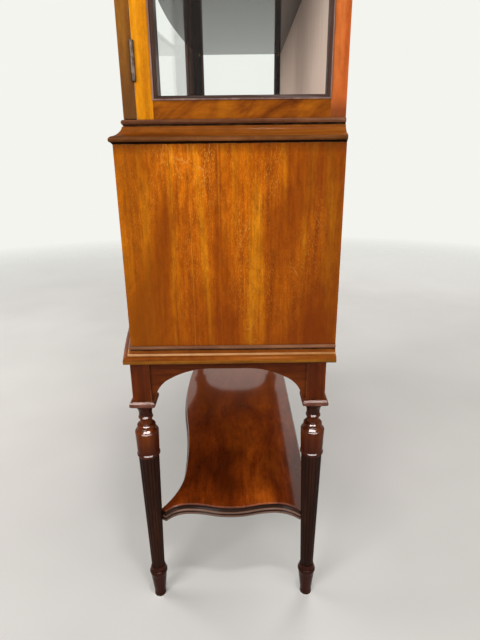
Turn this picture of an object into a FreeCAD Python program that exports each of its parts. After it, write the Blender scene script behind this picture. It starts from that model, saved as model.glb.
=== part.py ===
"""Bow-fronted display cabinet on a stand: turned reeded legs and undertier, cupboard, glazed top.

Frame: +Z up, +X to the cabinet's right-hand end, front towards -Y, origin on the floor under the
middle of the cabinet. All lengths are millimetres.
"""
import FreeCAD, Part
import math
import os

V = FreeCAD.Vector
UP = V(0, 0, 1)

# Cupboard case, the widest box, which carries the bow of the front
CASE_W = 1292.0
CASE_DEPTH = 390.0
BOW = 58.0
SIDE_T = 18.0
BACK_T = 8.0
LIPPING_REACH = 4.0

# Heights of the main levels above the floor
STAND_H = 619.0
CASE_FLOOR_T = 19.0
CUPBOARD_H = 350.0
CASE_TOP_T = 18.0
PLINTH_T = 32.5
FRIEZE_H = 40.0
DOOR_H = 776.0
TOP_T = 14.0

# Glazed top, set in from the case by the waist moulding
SETBACK = 21.0
GLAZED_DOOR_T = 21.0
END_T = 20.0
FRONT_STILE_W = 28.0
BACK_STILE_W = 26.0
END_BOTTOM_RAIL = 29.0
END_TOP_RAIL = 56.0
GLASS_T = 3.0
BEAD_W = 8.0
BEAD_PROUD = 2.0
BEAD_BED = 0.02
BEAD_SET_BACK = 1.0
GLASS_DEPTH = 10.0
LINING_T = 3.0

# Doors
DOOR_GAP = 1.5
JOINT_GAP = 1.0
STILE_W = 42.0
DOOR_BOTTOM_RAIL = 44.0
DOOR_TOP_RAIL = 42.0
CUPBOARD_DOOR_T = 20.0
CUPBOARD_STILE_W = 62.0
CUPBOARD_RAIL_W = 58.0
PANEL_T = 9.0
PANEL_TONGUE = 6.0
PANEL_DEPTH = 6.0
PANEL_MARGIN = 34.0
PANEL_FIELD_RISE = 3.0

# Shelves of the glazed top
SHELF_T = 16.0
LOWER_SPACE_H = 325.5
MIDDLE_SPACE_H = 240.0
SHELF_FRONT_GAP = 22.0
SHELF_SIDE_GAP = 1.0
STUD_R = 3.0
STUD_IN = 11.0
STUD_OUT = 9.0
STUD_EDGE = 6.0

# How far a cut runs past the face that it opens, and a moulding past its mitre
OVERCUT = 1.0
MITRE_OVERRUN = 60.0

# Stand
LEG_FRONT_REACH = 6.5
LEG_BACK_INSET = 14.5
LEG_SIDE_INSET = 4.0
LEG_BLOCK = 37.0
APRON_T = 18.0
APRON_SET_IN = 4.0
APRON_CROWN = 21.0
ARCH_A = 115.0
ARCH_SPRING = 7.0
BACK_APRON_DEPTH = 60.0
CORNER_BLOCK = 62.0
CORNER_BLOCK_H = 40.0

# Turned leg: heights of its members above the floor, and its reeds
FOOT_Z = 63.0
SHAFT_Z = 86.0
SHAFT_TOP_Z = 384.0
CUP_TOP_Z = 504.0
COLLAR_H = 14.0
COLLAR_W = 51.0
REEDS = 16
REED_DEPTH = 1.5
REED_FACETS = 4
SHAFT_R_LOW = 14.6
SHAFT_R_HIGH = 21.6
TURNING_FLATS = 3

# Undertier
TIER_TOP_Z = 236.0
TIER_T = 28.0
TIER_END_X = 620.0
TIER_END_WAVE = 13.0
TIER_END_DIP_Y = 99.0
TIER_FRONT_DIP_X = 485.0
TIER_FRONT_DIP = 52.0
TIER_FRONT_WAVE = 41.0
TIER_BACK_OUT = 11.0
TIER_EAR_X = 4.5
TIER_EAR_Y = 10.0
TIER_TIP_X = 6.0
TIER_TIP_FRONT = 27.0
TIER_TIP_BACK = 20.0
TIER_SEAT_GAP = 0.05

# Mouldings: how far each stands out of the face it is fixed to, and its height
BASE_PROJ = 17.0
BASE_H = 31.0
BASE_DROP = 11.5
WAIST_PROJ = 7.0
WAIST_SEAT = 7.0
CORNICE_PROJ = 30.0
CORNICE_H = 63.0
CORNICE_RISE = 25.0
MOULDING_FLATS = 4

# Butt hinges of the glazed doors
HINGE_L = 60.0
HINGE_R = 3.5
HINGE_PIN_R = 1.5
HINGE_RUN = 0.05
HINGE_OUT = 2.0
HINGE_LEAF = 18.0
HINGE_LEAF_T = 1.5
HINGE_LEAF_GAP = 0.15
HINGE_RELIEF = 0.3
HINGE_KNUCKLES = 3
KNUCKLE_PLAY = 0.2
HINGE_FROM_END = 56.0

# Centre hinges of the cupboard doors: a strap with a pin in the case, a strap with an eye in the door
PIVOT_FROM_FACE = 5.0
PIVOT_FROM_EDGE = 6.0
PIVOT_R = 2.0
PIVOT_RUN = 0.05
PIVOT_IN = 7.0
PIVOT_BORE_CLEAR = 0.3
STRAP_L = 40.0
STRAP_W = 8.0
STRAP_T = 2.0

# Locks and keys
CUPBOARD_KEY_H = 192.5
KEY_X = 18.0
KEY_SHANK_R = 2.5
KEY_RUN = 0.06
KEY_BIT_R = 7.0
KEY_BIT_T = 4.0
KEY_OUT = 10.0
KEY_BOW_R = 9.0
KEY_BOW_HOLE_R = 5.2
KEY_BOW_T = 3.0
KEY_STEM_LAP = 1.5
KEY_COLLAR_RISE = 1.4
KEY_COLLAR_L = 2.0
KEY_COLLAR_OUT = 2.5
KEY_BIT_CLEAR = 0.5
LOCK_W = 34.0
LOCK_LOW = 14.0
LOCK_HIGH = 20.0
LOCK_DEPTH = 12.0
LOCK_WALL = 1.5
LOCK_RECESS = 0.4
BOLT_THROW = 6.0
BOLT_CLEAR = 0.3
BOLT_SET_BACK = 0.5
BOLT_WEB_T = 2.0
BOLT_RISE = 2.5
BOLT_H = 8.0
TALON_LEAD = 3.9
TALON_TRAIL = 3.3
TALON_LUG = 4.0
TALON_RISE = 0.6
ESCUTCHEON_R = 10.0
ESCUTCHEON_DROP_R = 6.0
ESCUTCHEON_T = 1.2
ESCUTCHEON_PROUD = 0.4

# Slip bolts of the left-hand doors
SLIP_X = 22.0
SLIP_L = 64.0
SLIP_W = 8.0
SLIP_SPREAD = 1.5
SLIP_DEPTH = 5.0
SLIP_THROW = 8.0
SLIP_CLEAR = 0.25
SLIP_SET_BACK = 0.3
SLIP_END_GAP = 0.5
SLIP_KNOB_R = 3.0
SLIP_KNOB_H = 5.0

# Levels that follow
CASE_Z0 = STAND_H
CASE_FLOOR_Z = CASE_Z0 + CASE_FLOOR_T
CASE_CEIL_Z = CASE_FLOOR_Z + CUPBOARD_H
CASE_Z1 = CASE_CEIL_Z + CASE_TOP_T
WAIST_Z = CASE_Z1 - WAIST_SEAT
PLINTH_Z1 = CASE_Z1 + PLINTH_T
WAIST_H = PLINTH_Z1 - WAIST_Z
DOOR_Z0 = PLINTH_Z1 + DOOR_GAP
DOOR_Z1 = DOOR_Z0 + DOOR_H
FRIEZE_Z0 = DOOR_Z1 + DOOR_GAP
FRAME_Z1 = FRIEZE_Z0 + FRIEZE_H
TOP_Z1 = FRAME_Z1 + TOP_T
CORNICE_Z0 = TOP_Z1 + CORNICE_RISE - CORNICE_H
SHELF_Z = [PLINTH_Z1 + LOWER_SPACE_H, PLINTH_Z1 + LOWER_SPACE_H + SHELF_T + MIDDLE_SPACE_H]

# Places that follow
HALF_CASE = CASE_W / 2
HALF_TOP = HALF_CASE - SETBACK
KEY_REACH = KEY_OUT + 2 * KEY_BOW_R
FRONT_REACH = max(BASE_PROJ, KEY_REACH)
Y_BACK = (CASE_DEPTH + BOW + FRONT_REACH) / 2
Y_CORNER = Y_BACK - CASE_DEPTH
Y_MID = Y_CORNER - BOW
BOW_R = (HALF_CASE ** 2 + BOW ** 2) / (2 * BOW)
BOW_Y = Y_MID + BOW_R
DOOR_FRONT = -SETBACK
DOOR_BACK = DOOR_FRONT - GLAZED_DOOR_T
END_FRONT = DOOR_BACK - JOINT_GAP
BACK_FACE = Y_BACK - BACK_T
LINING_FACE = BACK_FACE - LINING_T
LEG_X = HALF_CASE - LEG_SIDE_INSET - LEG_BLOCK / 2
LEG_Y_BACK = Y_BACK - LEG_BACK_INSET - LEG_BLOCK / 2
LEG_Y_FRONT = Y_CORNER - LEG_FRONT_REACH + LEG_BLOCK / 2
LEG_PLACES = {
    "front_right": (LEG_X, LEG_Y_FRONT),
    "front_left": (-LEG_X, LEG_Y_FRONT),
    "back_right": (LEG_X, LEG_Y_BACK),
    "back_left": (-LEG_X, LEG_Y_BACK),
}
BLOCK_Z0 = CUP_TOP_Z + COLLAR_H
SHAFT_SLOPE = (SHAFT_R_HIGH - SHAFT_R_LOW) / (SHAFT_TOP_Z - SHAFT_Z)


def bow_y(x, p):
    """Y of the bowed front at x, moved out by p from the face of the case."""
    return BOW_Y - math.sqrt((BOW_R + p) ** 2 - x ** 2)


def save(name, shapes):
    """Write one node, which holds one solid or a group of separate solids."""
    solids = []
    for shape in shapes:
        solids.extend(shape.Solids)
    node = solids[0] if len(solids) == 1 else Part.makeCompound(solids)
    node.exportStep("parts/" + name + ".step")


def box(x0, x1, y0, y1, z0, z1):
    return Part.makeBox(x1 - x0, y1 - y0, z1 - z0, V(x0, y0, z0))


def flip(shape):
    """The same piece on the left-hand side."""
    return shape.mirror(V(0, 0, 0), V(1, 0, 0))


def polygon(points):
    return Part.makePolygon(list(points) + [points[0]])


def prism(points, along):
    """Solid with straight sides, from a closed outline moved along a vector."""
    return Part.Face(polygon(points)).extrude(along)


def path_edges(start, steps, place):
    """Edges of a profile. A step (a, b) is a line, and (a, b, c, d) an arc through (a, b) to (c, d)."""
    edges = []
    here = place(*start)
    for step in steps:
        there = place(*step[-2:])
        if len(step) == 2:
            edges.append(Part.LineSegment(here, there).toShape())
        else:
            edges.append(Part.Arc(here, place(*step[:2]), there).toShape())
        here = there
    if here.distanceToPoint(place(*start)) > 1e-6:
        edges.append(Part.LineSegment(here, place(*start)).toShape())
    return edges


def profile_face(start, steps, place):
    return Part.Face(Part.Wire(path_edges(start, steps, place)))


def bow_slab(x0, x1, p_front, p_back, z0, z1):
    """Board that follows the bow, from x0 to x1, between two faces p_front and p_back."""
    mid = (x0 + x1) / 2

    def at(x, p):
        return V(x, bow_y(x, p), z0)

    edges = [
        Part.Arc(at(x0, p_front), at(mid, p_front), at(x1, p_front)).toShape(),
        Part.LineSegment(at(x1, p_front), at(x1, p_back)).toShape(),
        Part.Arc(at(x1, p_back), at(mid, p_back), at(x0, p_back)).toShape(),
        Part.LineSegment(at(x0, p_back), at(x0, p_front)).toShape(),
    ]
    return Part.Face(Part.Wire(edges)).extrude(V(0, 0, z1 - z0))


def bow_board(x0, x1, p_front, y_back, z0, z1):
    """Board with straight ends and back, and the bow along its front."""
    start = V(x0, bow_y(x0, p_front), z0)
    stop = V(x1, bow_y(x1, p_front), z0)
    mid = V((x0 + x1) / 2, bow_y((x0 + x1) / 2, p_front), z0)
    edges = [
        Part.Arc(start, mid, stop).toShape(),
        Part.LineSegment(stop, V(x1, y_back, z0)).toShape(),
        Part.LineSegment(V(x1, y_back, z0), V(x0, y_back, z0)).toShape(),
        Part.LineSegment(V(x0, y_back, z0), start).toShape(),
    ]
    return Part.Face(Part.Wire(edges)).extrude(V(0, 0, z1 - z0))


def bow_sweep(x0, x1, start, steps):
    """Profile of (p, z) steps swept along the bow from x0 to x1."""
    angle0 = math.degrees(math.asin(x0 / BOW_R))
    angle1 = math.degrees(math.asin(x1 / BOW_R))
    face = profile_face(start, steps, lambda p, z: V(0, BOW_Y - BOW_R - p, z))
    face.rotate(V(0, BOW_Y, 0), UP, angle0)
    return face.revolve(V(0, BOW_Y, 0), UP, angle1 - angle0)


def flats(start, steps, count):
    """The same profile with each arc worked as a few flats, as the scraper or chisel leaves it."""
    here = V(*start)
    points = []
    for step in steps:
        there = V(*step[-2:])
        if len(step) == 2:
            points.append(there)
        else:
            arc = Part.Arc(here, V(*step[:2]), there).toShape()
            points.extend(arc.discretize(count + 1)[1:])
        here = there
    return [(p.x, p.y) for p in points]


def mitred_moulding(half, p_face, start, steps):
    """Front and two end lengths of a moulding, mitred at the corners. p runs out from the face."""
    steps = flats(start, steps, MOULDING_FLATS)
    front = bow_sweep(-half - MITRE_OVERRUN, half + MITRE_OVERRUN, (start[0] + p_face, start[1]),
                      [(p + p_face, z) for p, z in steps])
    corner = V(half, bow_y(half, p_face), 0)
    end_face = profile_face(start, steps, lambda p, z: V(half + p, corner.y - MITRE_OVERRUN, z))
    end = end_face.extrude(V(0, Y_BACK - corner.y + MITRE_OVERRUN, 0))
    tilt = math.asin(half / (BOW_R + p_face))
    out = V(1 + math.sin(tilt), -math.cos(tilt), 0)
    out.normalize()
    side = V(-out.y, out.x, 0)
    base = corner - out * CASE_DEPTH
    along = out * CASE_DEPTH * 2
    across = side * CASE_DEPTH * 2
    end_zone = prism([base, base + across, base + across + along, base + along], UP * (TOP_Z1 + CORNICE_H))
    front = front.cut(end_zone).cut(flip(end_zone))
    end = end.common(end_zone)
    return [front, end, flip(end)]


def turned(start, steps):
    """Solid of revolution about the Z axis, from (radius, height) steps."""
    steps = flats(start, steps, TURNING_FLATS)
    return profile_face(start, steps, lambda r, z: V(r, 0, z)).revolve(V(0, 0, 0), UP, 360)


def reed_points(scale, z):
    """Corners of the reeded outline, REED_FACETS flats to each reed, scaled from the foot of the shaft."""
    half = math.pi / REEDS
    valley = SHAFT_R_LOW - REED_DEPTH
    chord = valley * math.sin(half)
    rise = SHAFT_R_LOW - valley * math.cos(half)
    own = (chord ** 2 + rise ** 2) / (2 * rise)
    sweep = math.asin(chord / own)
    points = []
    for i in range(REEDS):
        for j in range(REED_FACETS):
            t = sweep * (2 * j / REED_FACETS - 1)
            point = V(SHAFT_R_LOW - own + own * math.cos(t), own * math.sin(t), 0) * scale
            points.append(FreeCAD.Rotation(UP, math.degrees((2 * i + 1) * half)).multVec(point) + UP * z)
    return points


def reeded_shaft():
    """Tapering shaft cut into reeds, with flat faces that run its whole length."""
    low = reed_points(1, SHAFT_Z)
    high = reed_points(SHAFT_R_HIGH / SHAFT_R_LOW, SHAFT_TOP_Z)
    faces = [Part.Face(polygon(low)), Part.Face(polygon(high))]
    for i in range(len(low)):
        faces.append(Part.Face(polygon([low[i - 1], low[i], high[i], high[i - 1]])))
    return Part.Solid(Part.Shell(faces))


def square_ring(width, z):
    h = width / 2
    return polygon([V(-h, -h, z), V(h, -h, z), V(h, h, z), V(-h, h, z)])


def make_leg():
    """Turned leg on the Z axis: toupie foot, reeded taper, vase, cup, square collar and block."""
    z = FOOT_Z
    foot = turned((0, 0), [
        (13.4, 0), (13, 12), (15.2, 33, 18.6, z), (20, z + 4), (20, z + 8), (18.4, z + 11.5),
        (17.2, z + 11.5), (17.8, z + 15), (15.4, SHAFT_Z), (0, SHAFT_Z)])
    shaft = reeded_shaft()
    z = SHAFT_TOP_Z
    vase = turned((0, z), [
        (22.4, z), (24.4, z + 4.5, 22.6, z + 9), (23, z + 9), (24.4, z + 54),
        (23.4, z + 61, 18.6, z + 64.5), (17.5, z + 67), (19, z + 69), (19, z + 73), (17.2, z + 75),
        (13.4, z + 75), (12.5, z + 81, 12.8, z + 87), (15, z + 90), (15, z + 92), (13.6, z + 95),
        (15, z + 109, 19.8, CUP_TOP_Z - 3), (19.8, CUP_TOP_Z), (0, CUP_TOP_Z)])
    collar_steps = [(0, 11), (3, 2.5), (4.5, 0), (10.5, 0), (COLLAR_H, 7)]
    rings = [square_ring(COLLAR_W - inset, CUP_TOP_Z + dz) for dz, inset in collar_steps]
    collar = Part.makeLoft(rings, True, True)
    h = LEG_BLOCK / 2
    block = box(-h, h, -h, h, BLOCK_Z0, STAND_H)
    return foot.fuse([shaft, vase, collar, block]).removeSplitter()


def arch_outline(half_span, place):
    """Outline of the space under an apron: a quarter ellipse at each end and a flat crown."""
    spring = BLOCK_Z0
    rise = STAND_H - BASE_DROP - APRON_CROWN - spring
    flat = half_span - ARCH_A
    low = spring - OVERCUT
    edges = []
    quarter = []
    for i in range(5):
        t = math.pi / 2 * i / 4
        quarter.append((flat + ARCH_A * math.cos(t), spring + rise * math.sin(t)))
    right = [place(u, z) for u, z in quarter]
    left = [place(-u, z) for u, z in reversed(quarter)]
    edges.append(Part.LineSegment(place(half_span, low), right[0]).toShape())
    edges.append(Part.Arc(right[0], right[1], right[2]).toShape())
    edges.append(Part.Arc(right[2], right[3], right[4]).toShape())
    edges.append(Part.LineSegment(right[4], left[0]).toShape())
    edges.append(Part.Arc(left[0], left[1], left[2]).toShape())
    edges.append(Part.Arc(left[2], left[3], left[4]).toShape())
    edges.append(Part.LineSegment(left[4], place(-half_span, low)).toShape())
    edges.append(Part.LineSegment(place(-half_span, low), place(half_span, low)).toShape())
    return Part.Face(Part.Wire(edges))


def make_aprons():
    """Front apron on the bow, two arched end aprons and a plain back apron."""
    z0 = BLOCK_Z0
    inner = LEG_X - LEG_BLOCK / 2
    y0 = LEG_Y_FRONT + LEG_BLOCK / 2
    y1 = LEG_Y_BACK - LEG_BLOCK / 2
    outer = LEG_X + LEG_BLOCK / 2 - APRON_SET_IN
    end = box(outer - APRON_T, outer, y0, y1, z0, STAND_H)
    mid = (y0 + y1) / 2
    arch = arch_outline((y1 - y0) / 2 - ARCH_SPRING, lambda u, z: V(outer - 2 * APRON_T, mid + u, z))
    end = end.cut(arch.extrude(V(3 * APRON_T, 0, 0)))
    face_y = LEG_Y_FRONT - LEG_BLOCK / 2 + APRON_SET_IN
    p_front = math.hypot(inner, BOW_Y - face_y) - BOW_R
    front = bow_slab(-inner, inner, p_front, p_front - APRON_T, z0, STAND_H)
    arch = arch_outline(inner - ARCH_SPRING, lambda u, z: V(u, Y_MID - APRON_T, z))
    front = front.cut(arch.extrude(V(0, CASE_DEPTH, 0)))
    back_y = LEG_Y_BACK + LEG_BLOCK / 2 - APRON_SET_IN
    back = box(-inner, inner, back_y - APRON_T, back_y, STAND_H - BACK_APRON_DEPTH, STAND_H)
    return front, back, end


def make_corner_blocks(pieces):
    """Glued blocks that brace each leg to its two aprons, cut to fit round them."""
    blocks = []
    z0 = STAND_H - CORNER_BLOCK_H
    for sx in (1, -1):
        for y, sy in ((LEG_Y_FRONT, 1), (LEG_Y_BACK, -1)):
            points = [V(sx * LEG_X, y, z0), V(sx * (LEG_X - CORNER_BLOCK), y, z0),
                      V(sx * LEG_X, y + sy * CORNER_BLOCK, z0)]
            wedge = prism(points, V(0, 0, CORNER_BLOCK_H))
            for piece in pieces:
                wedge = wedge.cut(piece)
            inside = [s for s in wedge.Solids if abs(s.CenterOfMass.x) < LEG_X - APRON_T / 2]
            blocks.append(max(inside, key=lambda s: s.Volume))
    return blocks


def swing(x0, y0, x1, y1, axis):
    """Arc from (x0, y0) to (x1, y1) that starts along the x or y axis: its middle and end points."""
    dx = x1 - x0
    dy = y1 - y0
    run, rise = (dx, dy) if axis == "x" else (dy, dx)
    r = (run ** 2 + rise ** 2) / (2 * abs(rise))
    half = run / 2
    lift = (r - math.sqrt(r ** 2 - half ** 2)) * (1 if rise > 0 else -1)
    if axis == "x":
        return (x0 + half, y0 + lift)
    return (x0 + lift, y0 + half)


def tier_wire(inset, z):
    """Outline of the undertier: serpentine ends and front, a straight back, an ear at each leg."""
    end_x = TIER_END_X - inset
    dip_x = end_x - TIER_END_WAVE
    tip_x = LEG_X + TIER_TIP_X - inset
    ear_x = LEG_X - TIER_EAR_X
    dip_y = LEG_Y_FRONT + TIER_FRONT_DIP + inset
    nose_y = dip_y - TIER_FRONT_WAVE
    back_y = LEG_Y_BACK + TIER_BACK_OUT - inset
    mid_y = (LEG_Y_FRONT + LEG_Y_BACK) / 2
    half_x = TIER_FRONT_DIP_X / 2
    turn_x = (end_x + dip_x) / 2
    turn_y = TIER_END_DIP_Y / 2
    nose = (0, nose_y)
    half = (half_x, (dip_y + nose_y) / 2)
    dip = (TIER_FRONT_DIP_X, dip_y)
    ear_front = (ear_x, LEG_Y_FRONT + TIER_EAR_Y + inset)
    tip_front = (tip_x, LEG_Y_FRONT + TIER_TIP_FRONT)
    end_dip_front = (dip_x, mid_y - TIER_END_DIP_Y)
    turn_front = (turn_x, mid_y - turn_y)
    crest = (end_x, mid_y)
    turn_back = (turn_x, mid_y + turn_y)
    end_dip_back = (dip_x, mid_y + TIER_END_DIP_Y)
    tip_back = (tip_x, LEG_Y_BACK - TIER_TIP_BACK)
    ear_back = (ear_x, back_y)
    right = [
        (nose, swing(*nose, *half, "x"), half),
        (half, swing(*dip, *half, "x"), dip),
        (dip, swing(*dip, *ear_front, "x"), ear_front),
        (ear_front, tip_front),
        (tip_front, swing(*end_dip_front, *tip_front, "y"), end_dip_front),
        (end_dip_front, swing(*end_dip_front, *turn_front, "y"), turn_front),
        (turn_front, swing(*crest, *turn_front, "y"), crest),
        (crest, swing(*crest, *turn_back, "y"), turn_back),
        (turn_back, swing(*end_dip_back, *turn_back, "y"), end_dip_back),
        (end_dip_back, swing(*end_dip_back, *tip_back, "y"), tip_back),
        (tip_back, ear_back),
    ]
    left = [[(-x, y) for x, y in reversed(run)] for run in reversed(right)]
    edges = []
    for run in right + [(ear_back, (-ear_x, back_y))] + left:
        points = [V(x, y, z) for x, y in run]
        curve = Part.Arc(*points) if len(points) == 3 else Part.LineSegment(*points)
        edges.append(curve.toShape())
    return Part.Wire(edges)


def make_undertier():
    """Shelf between the legs with a moulded edge, fitted to the taper of each leg."""
    edge = [(0, 4), (4, 0.5), (8, 0), (10, 1.8), (12, 1), (16, 2), (20, 5.5), (25, 4.5), (TIER_T, 6)]
    z0 = TIER_TOP_Z - TIER_T
    tier = Part.makeLoft([tier_wire(inset, z0 + dz) for dz, inset in edge], True, True)
    r0 = SHAFT_R_LOW + SHAFT_SLOPE * (z0 - OVERCUT - SHAFT_Z) + TIER_SEAT_GAP
    r1 = SHAFT_R_LOW + SHAFT_SLOPE * (TIER_TOP_Z + OVERCUT - SHAFT_Z) + TIER_SEAT_GAP
    for sx in (1, -1):
        for y in (LEG_Y_FRONT, LEG_Y_BACK):
            seat = Part.makeCone(r0, r1, TIER_T + 2 * OVERCUT, V(sx * LEG_X, y, z0 - OVERCUT))
            tier = tier.cut(seat)
    return max(tier.Solids, key=lambda s: s.Volume)


class Hinge:
    """Butt hinge: two leaves with interleaved knuckles on a pin, and the seats cut for it."""

    def __init__(self, axis, inward, fixed_side, z0):
        self.axis = axis
        self.inward = inward
        self.fixed_side = fixed_side
        self.z0 = z0
        self.fixed = self.leaf(1, 0)
        self.moving = self.leaf(-1, 1)
        self.pin = self.tube(HINGE_PIN_R, 0, HINGE_L)
        self.relief = self.tube(HINGE_R + HINGE_RELIEF, -HINGE_RELIEF, HINGE_L + 2 * HINGE_RELIEF)

    def tube(self, radius, dz, length):
        return Part.makeCylinder(radius, length, self.axis + UP * (self.z0 + dz))

    def plate(self, side, u0, u1, dz, length):
        """Flat strip of one leaf, in the joint between the two pieces of wood."""
        v0 = self.fixed_side * side * HINGE_LEAF_GAP
        v1 = self.fixed_side * side * (HINGE_LEAF_GAP + HINGE_LEAF_T)
        start = self.axis + self.inward * u0 + UP * (self.z0 + dz)
        stop = self.axis + self.inward * u1 + UP * (self.z0 + dz)
        return prism([start + v0, stop + v0, stop + v1, start + v1], UP * length)

    def leaf(self, side, first):
        """One leaf with every second knuckle, bored for the pin."""
        step = HINGE_L / HINGE_KNUCKLES
        root = HINGE_R + HINGE_RELIEF
        shape = self.plate(side, root, HINGE_LEAF, 0, HINGE_L)
        for i in range(first, HINGE_KNUCKLES, 2):
            dz = i * step + KNUCKLE_PLAY / 2
            length = step - KNUCKLE_PLAY
            tab = self.plate(side, HINGE_PIN_R + HINGE_LEAF_T / 2, root, dz, length)
            shape = shape.fuse([tab, self.tube(HINGE_R, dz, length)])
        return shape.cut(self.tube(HINGE_PIN_R + HINGE_RUN, 0, HINGE_L)).removeSplitter()

    def seat(self, wood, side):
        """Wood cut away for one leaf and for the turning of the knuckles."""
        return wood.cut(self.plate(side, 0, HINGE_LEAF, 0, HINGE_L)).cut(self.relief)


def glazed_hinge(z0):
    """Hinge of the right-hand glazed door: its knuckle shows on the end, at the door's back edge."""
    slope = math.asin(HALF_TOP / BOW_R)
    inward = V(-math.cos(slope), -math.sin(slope), 0)
    fixed_side = V(-math.sin(slope), math.cos(slope), 0)
    joint = V(HALF_TOP, bow_y(HALF_TOP, (DOOR_BACK + END_FRONT) / 2), 0)
    return Hinge(joint - inward * HINGE_OUT, inward, fixed_side, z0)


def pivot_axis():
    """Place in plan of the right-hand cupboard door's pivots."""
    x = HALF_CASE - SIDE_T - DOOR_GAP - PIVOT_FROM_EDGE
    return V(x, bow_y(x, -PIVOT_FROM_FACE), 0)


class Pivot:
    """Centre hinge at the top (direction 1) or foot (direction -1) of the right-hand cupboard door."""

    def __init__(self, door_end, direction):
        self.axis = pivot_axis()
        face = door_end + direction * DOOR_GAP
        tip = door_end - direction * PIVOT_IN
        self.case_seat = self.strap(face, face + direction * STRAP_T)
        self.door_seat = self.strap(door_end, door_end - direction * STRAP_T)
        self.bore = self.rod(PIVOT_R + PIVOT_BORE_CLEAR, door_end, tip - direction * PIVOT_BORE_CLEAR)
        self.fixed = self.case_seat.fuse(self.rod(PIVOT_R, face, tip)).removeSplitter()
        self.moving = self.door_seat.cut(self.rod(PIVOT_R + PIVOT_RUN, face, tip))

    def rod(self, radius, z_a, z_b):
        return Part.makeCylinder(radius, abs(z_b - z_a), self.axis + UP * min(z_a, z_b))

    def strap(self, z_a, z_b):
        """Narrow strap along the door, with a round nose about the pin."""
        out = self.axis - V(0, BOW_Y, 0)
        out.normalize()
        inward = V(out.y, -out.x, 0)
        half = STRAP_W / 2
        near = self.axis + out * half
        far = self.axis - out * half
        edges = [
            Part.Arc(near, self.axis - inward * half, far).toShape(),
            Part.LineSegment(far, far + inward * STRAP_L).toShape(),
            Part.LineSegment(far + inward * STRAP_L, near + inward * STRAP_L).toShape(),
            Part.LineSegment(near + inward * STRAP_L, near).toShape(),
        ]
        return Part.Face(Part.Wire(edges)).extrude(UP * abs(z_b - z_a)).translated(UP * min(z_a, z_b))


def hanging_stile(x0, z0, z1):
    """Hanging stile of the right-hand cupboard door, its front corner rounded to turn about the pivots."""
    axis = pivot_axis()
    out = axis - V(0, BOW_Y, 0)
    reach = out.Length
    turn = math.acos((BOW_R ** 2 + reach ** 2 - PIVOT_FROM_EDGE ** 2) / (2 * BOW_R * reach))
    corner = V(0, BOW_Y, 0) + FreeCAD.Rotation(UP, math.degrees(turn)).multVec(out) * (BOW_R / reach)
    edge = axis + V(PIVOT_FROM_EDGE, 0, 0)
    middle = corner + edge - axis * 2
    middle.normalize()

    def at(x, p):
        return V(x, bow_y(x, p), 0)

    back = -CUPBOARD_DOOR_T
    edges = [
        Part.Arc(at(x0, 0), at((x0 + corner.x) / 2, 0), corner).toShape(),
        Part.Arc(corner, axis + middle * PIVOT_FROM_EDGE, edge).toShape(),
        Part.LineSegment(edge, at(edge.x, back)).toShape(),
        Part.Arc(at(edge.x, back), at((x0 + edge.x) / 2, back), at(x0, back)).toShape(),
        Part.LineSegment(at(x0, back), at(x0, 0)).toShape(),
    ]
    return Part.Face(Part.Wire(edges)).extrude(UP * (z1 - z0)).translated(UP * z0)


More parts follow.
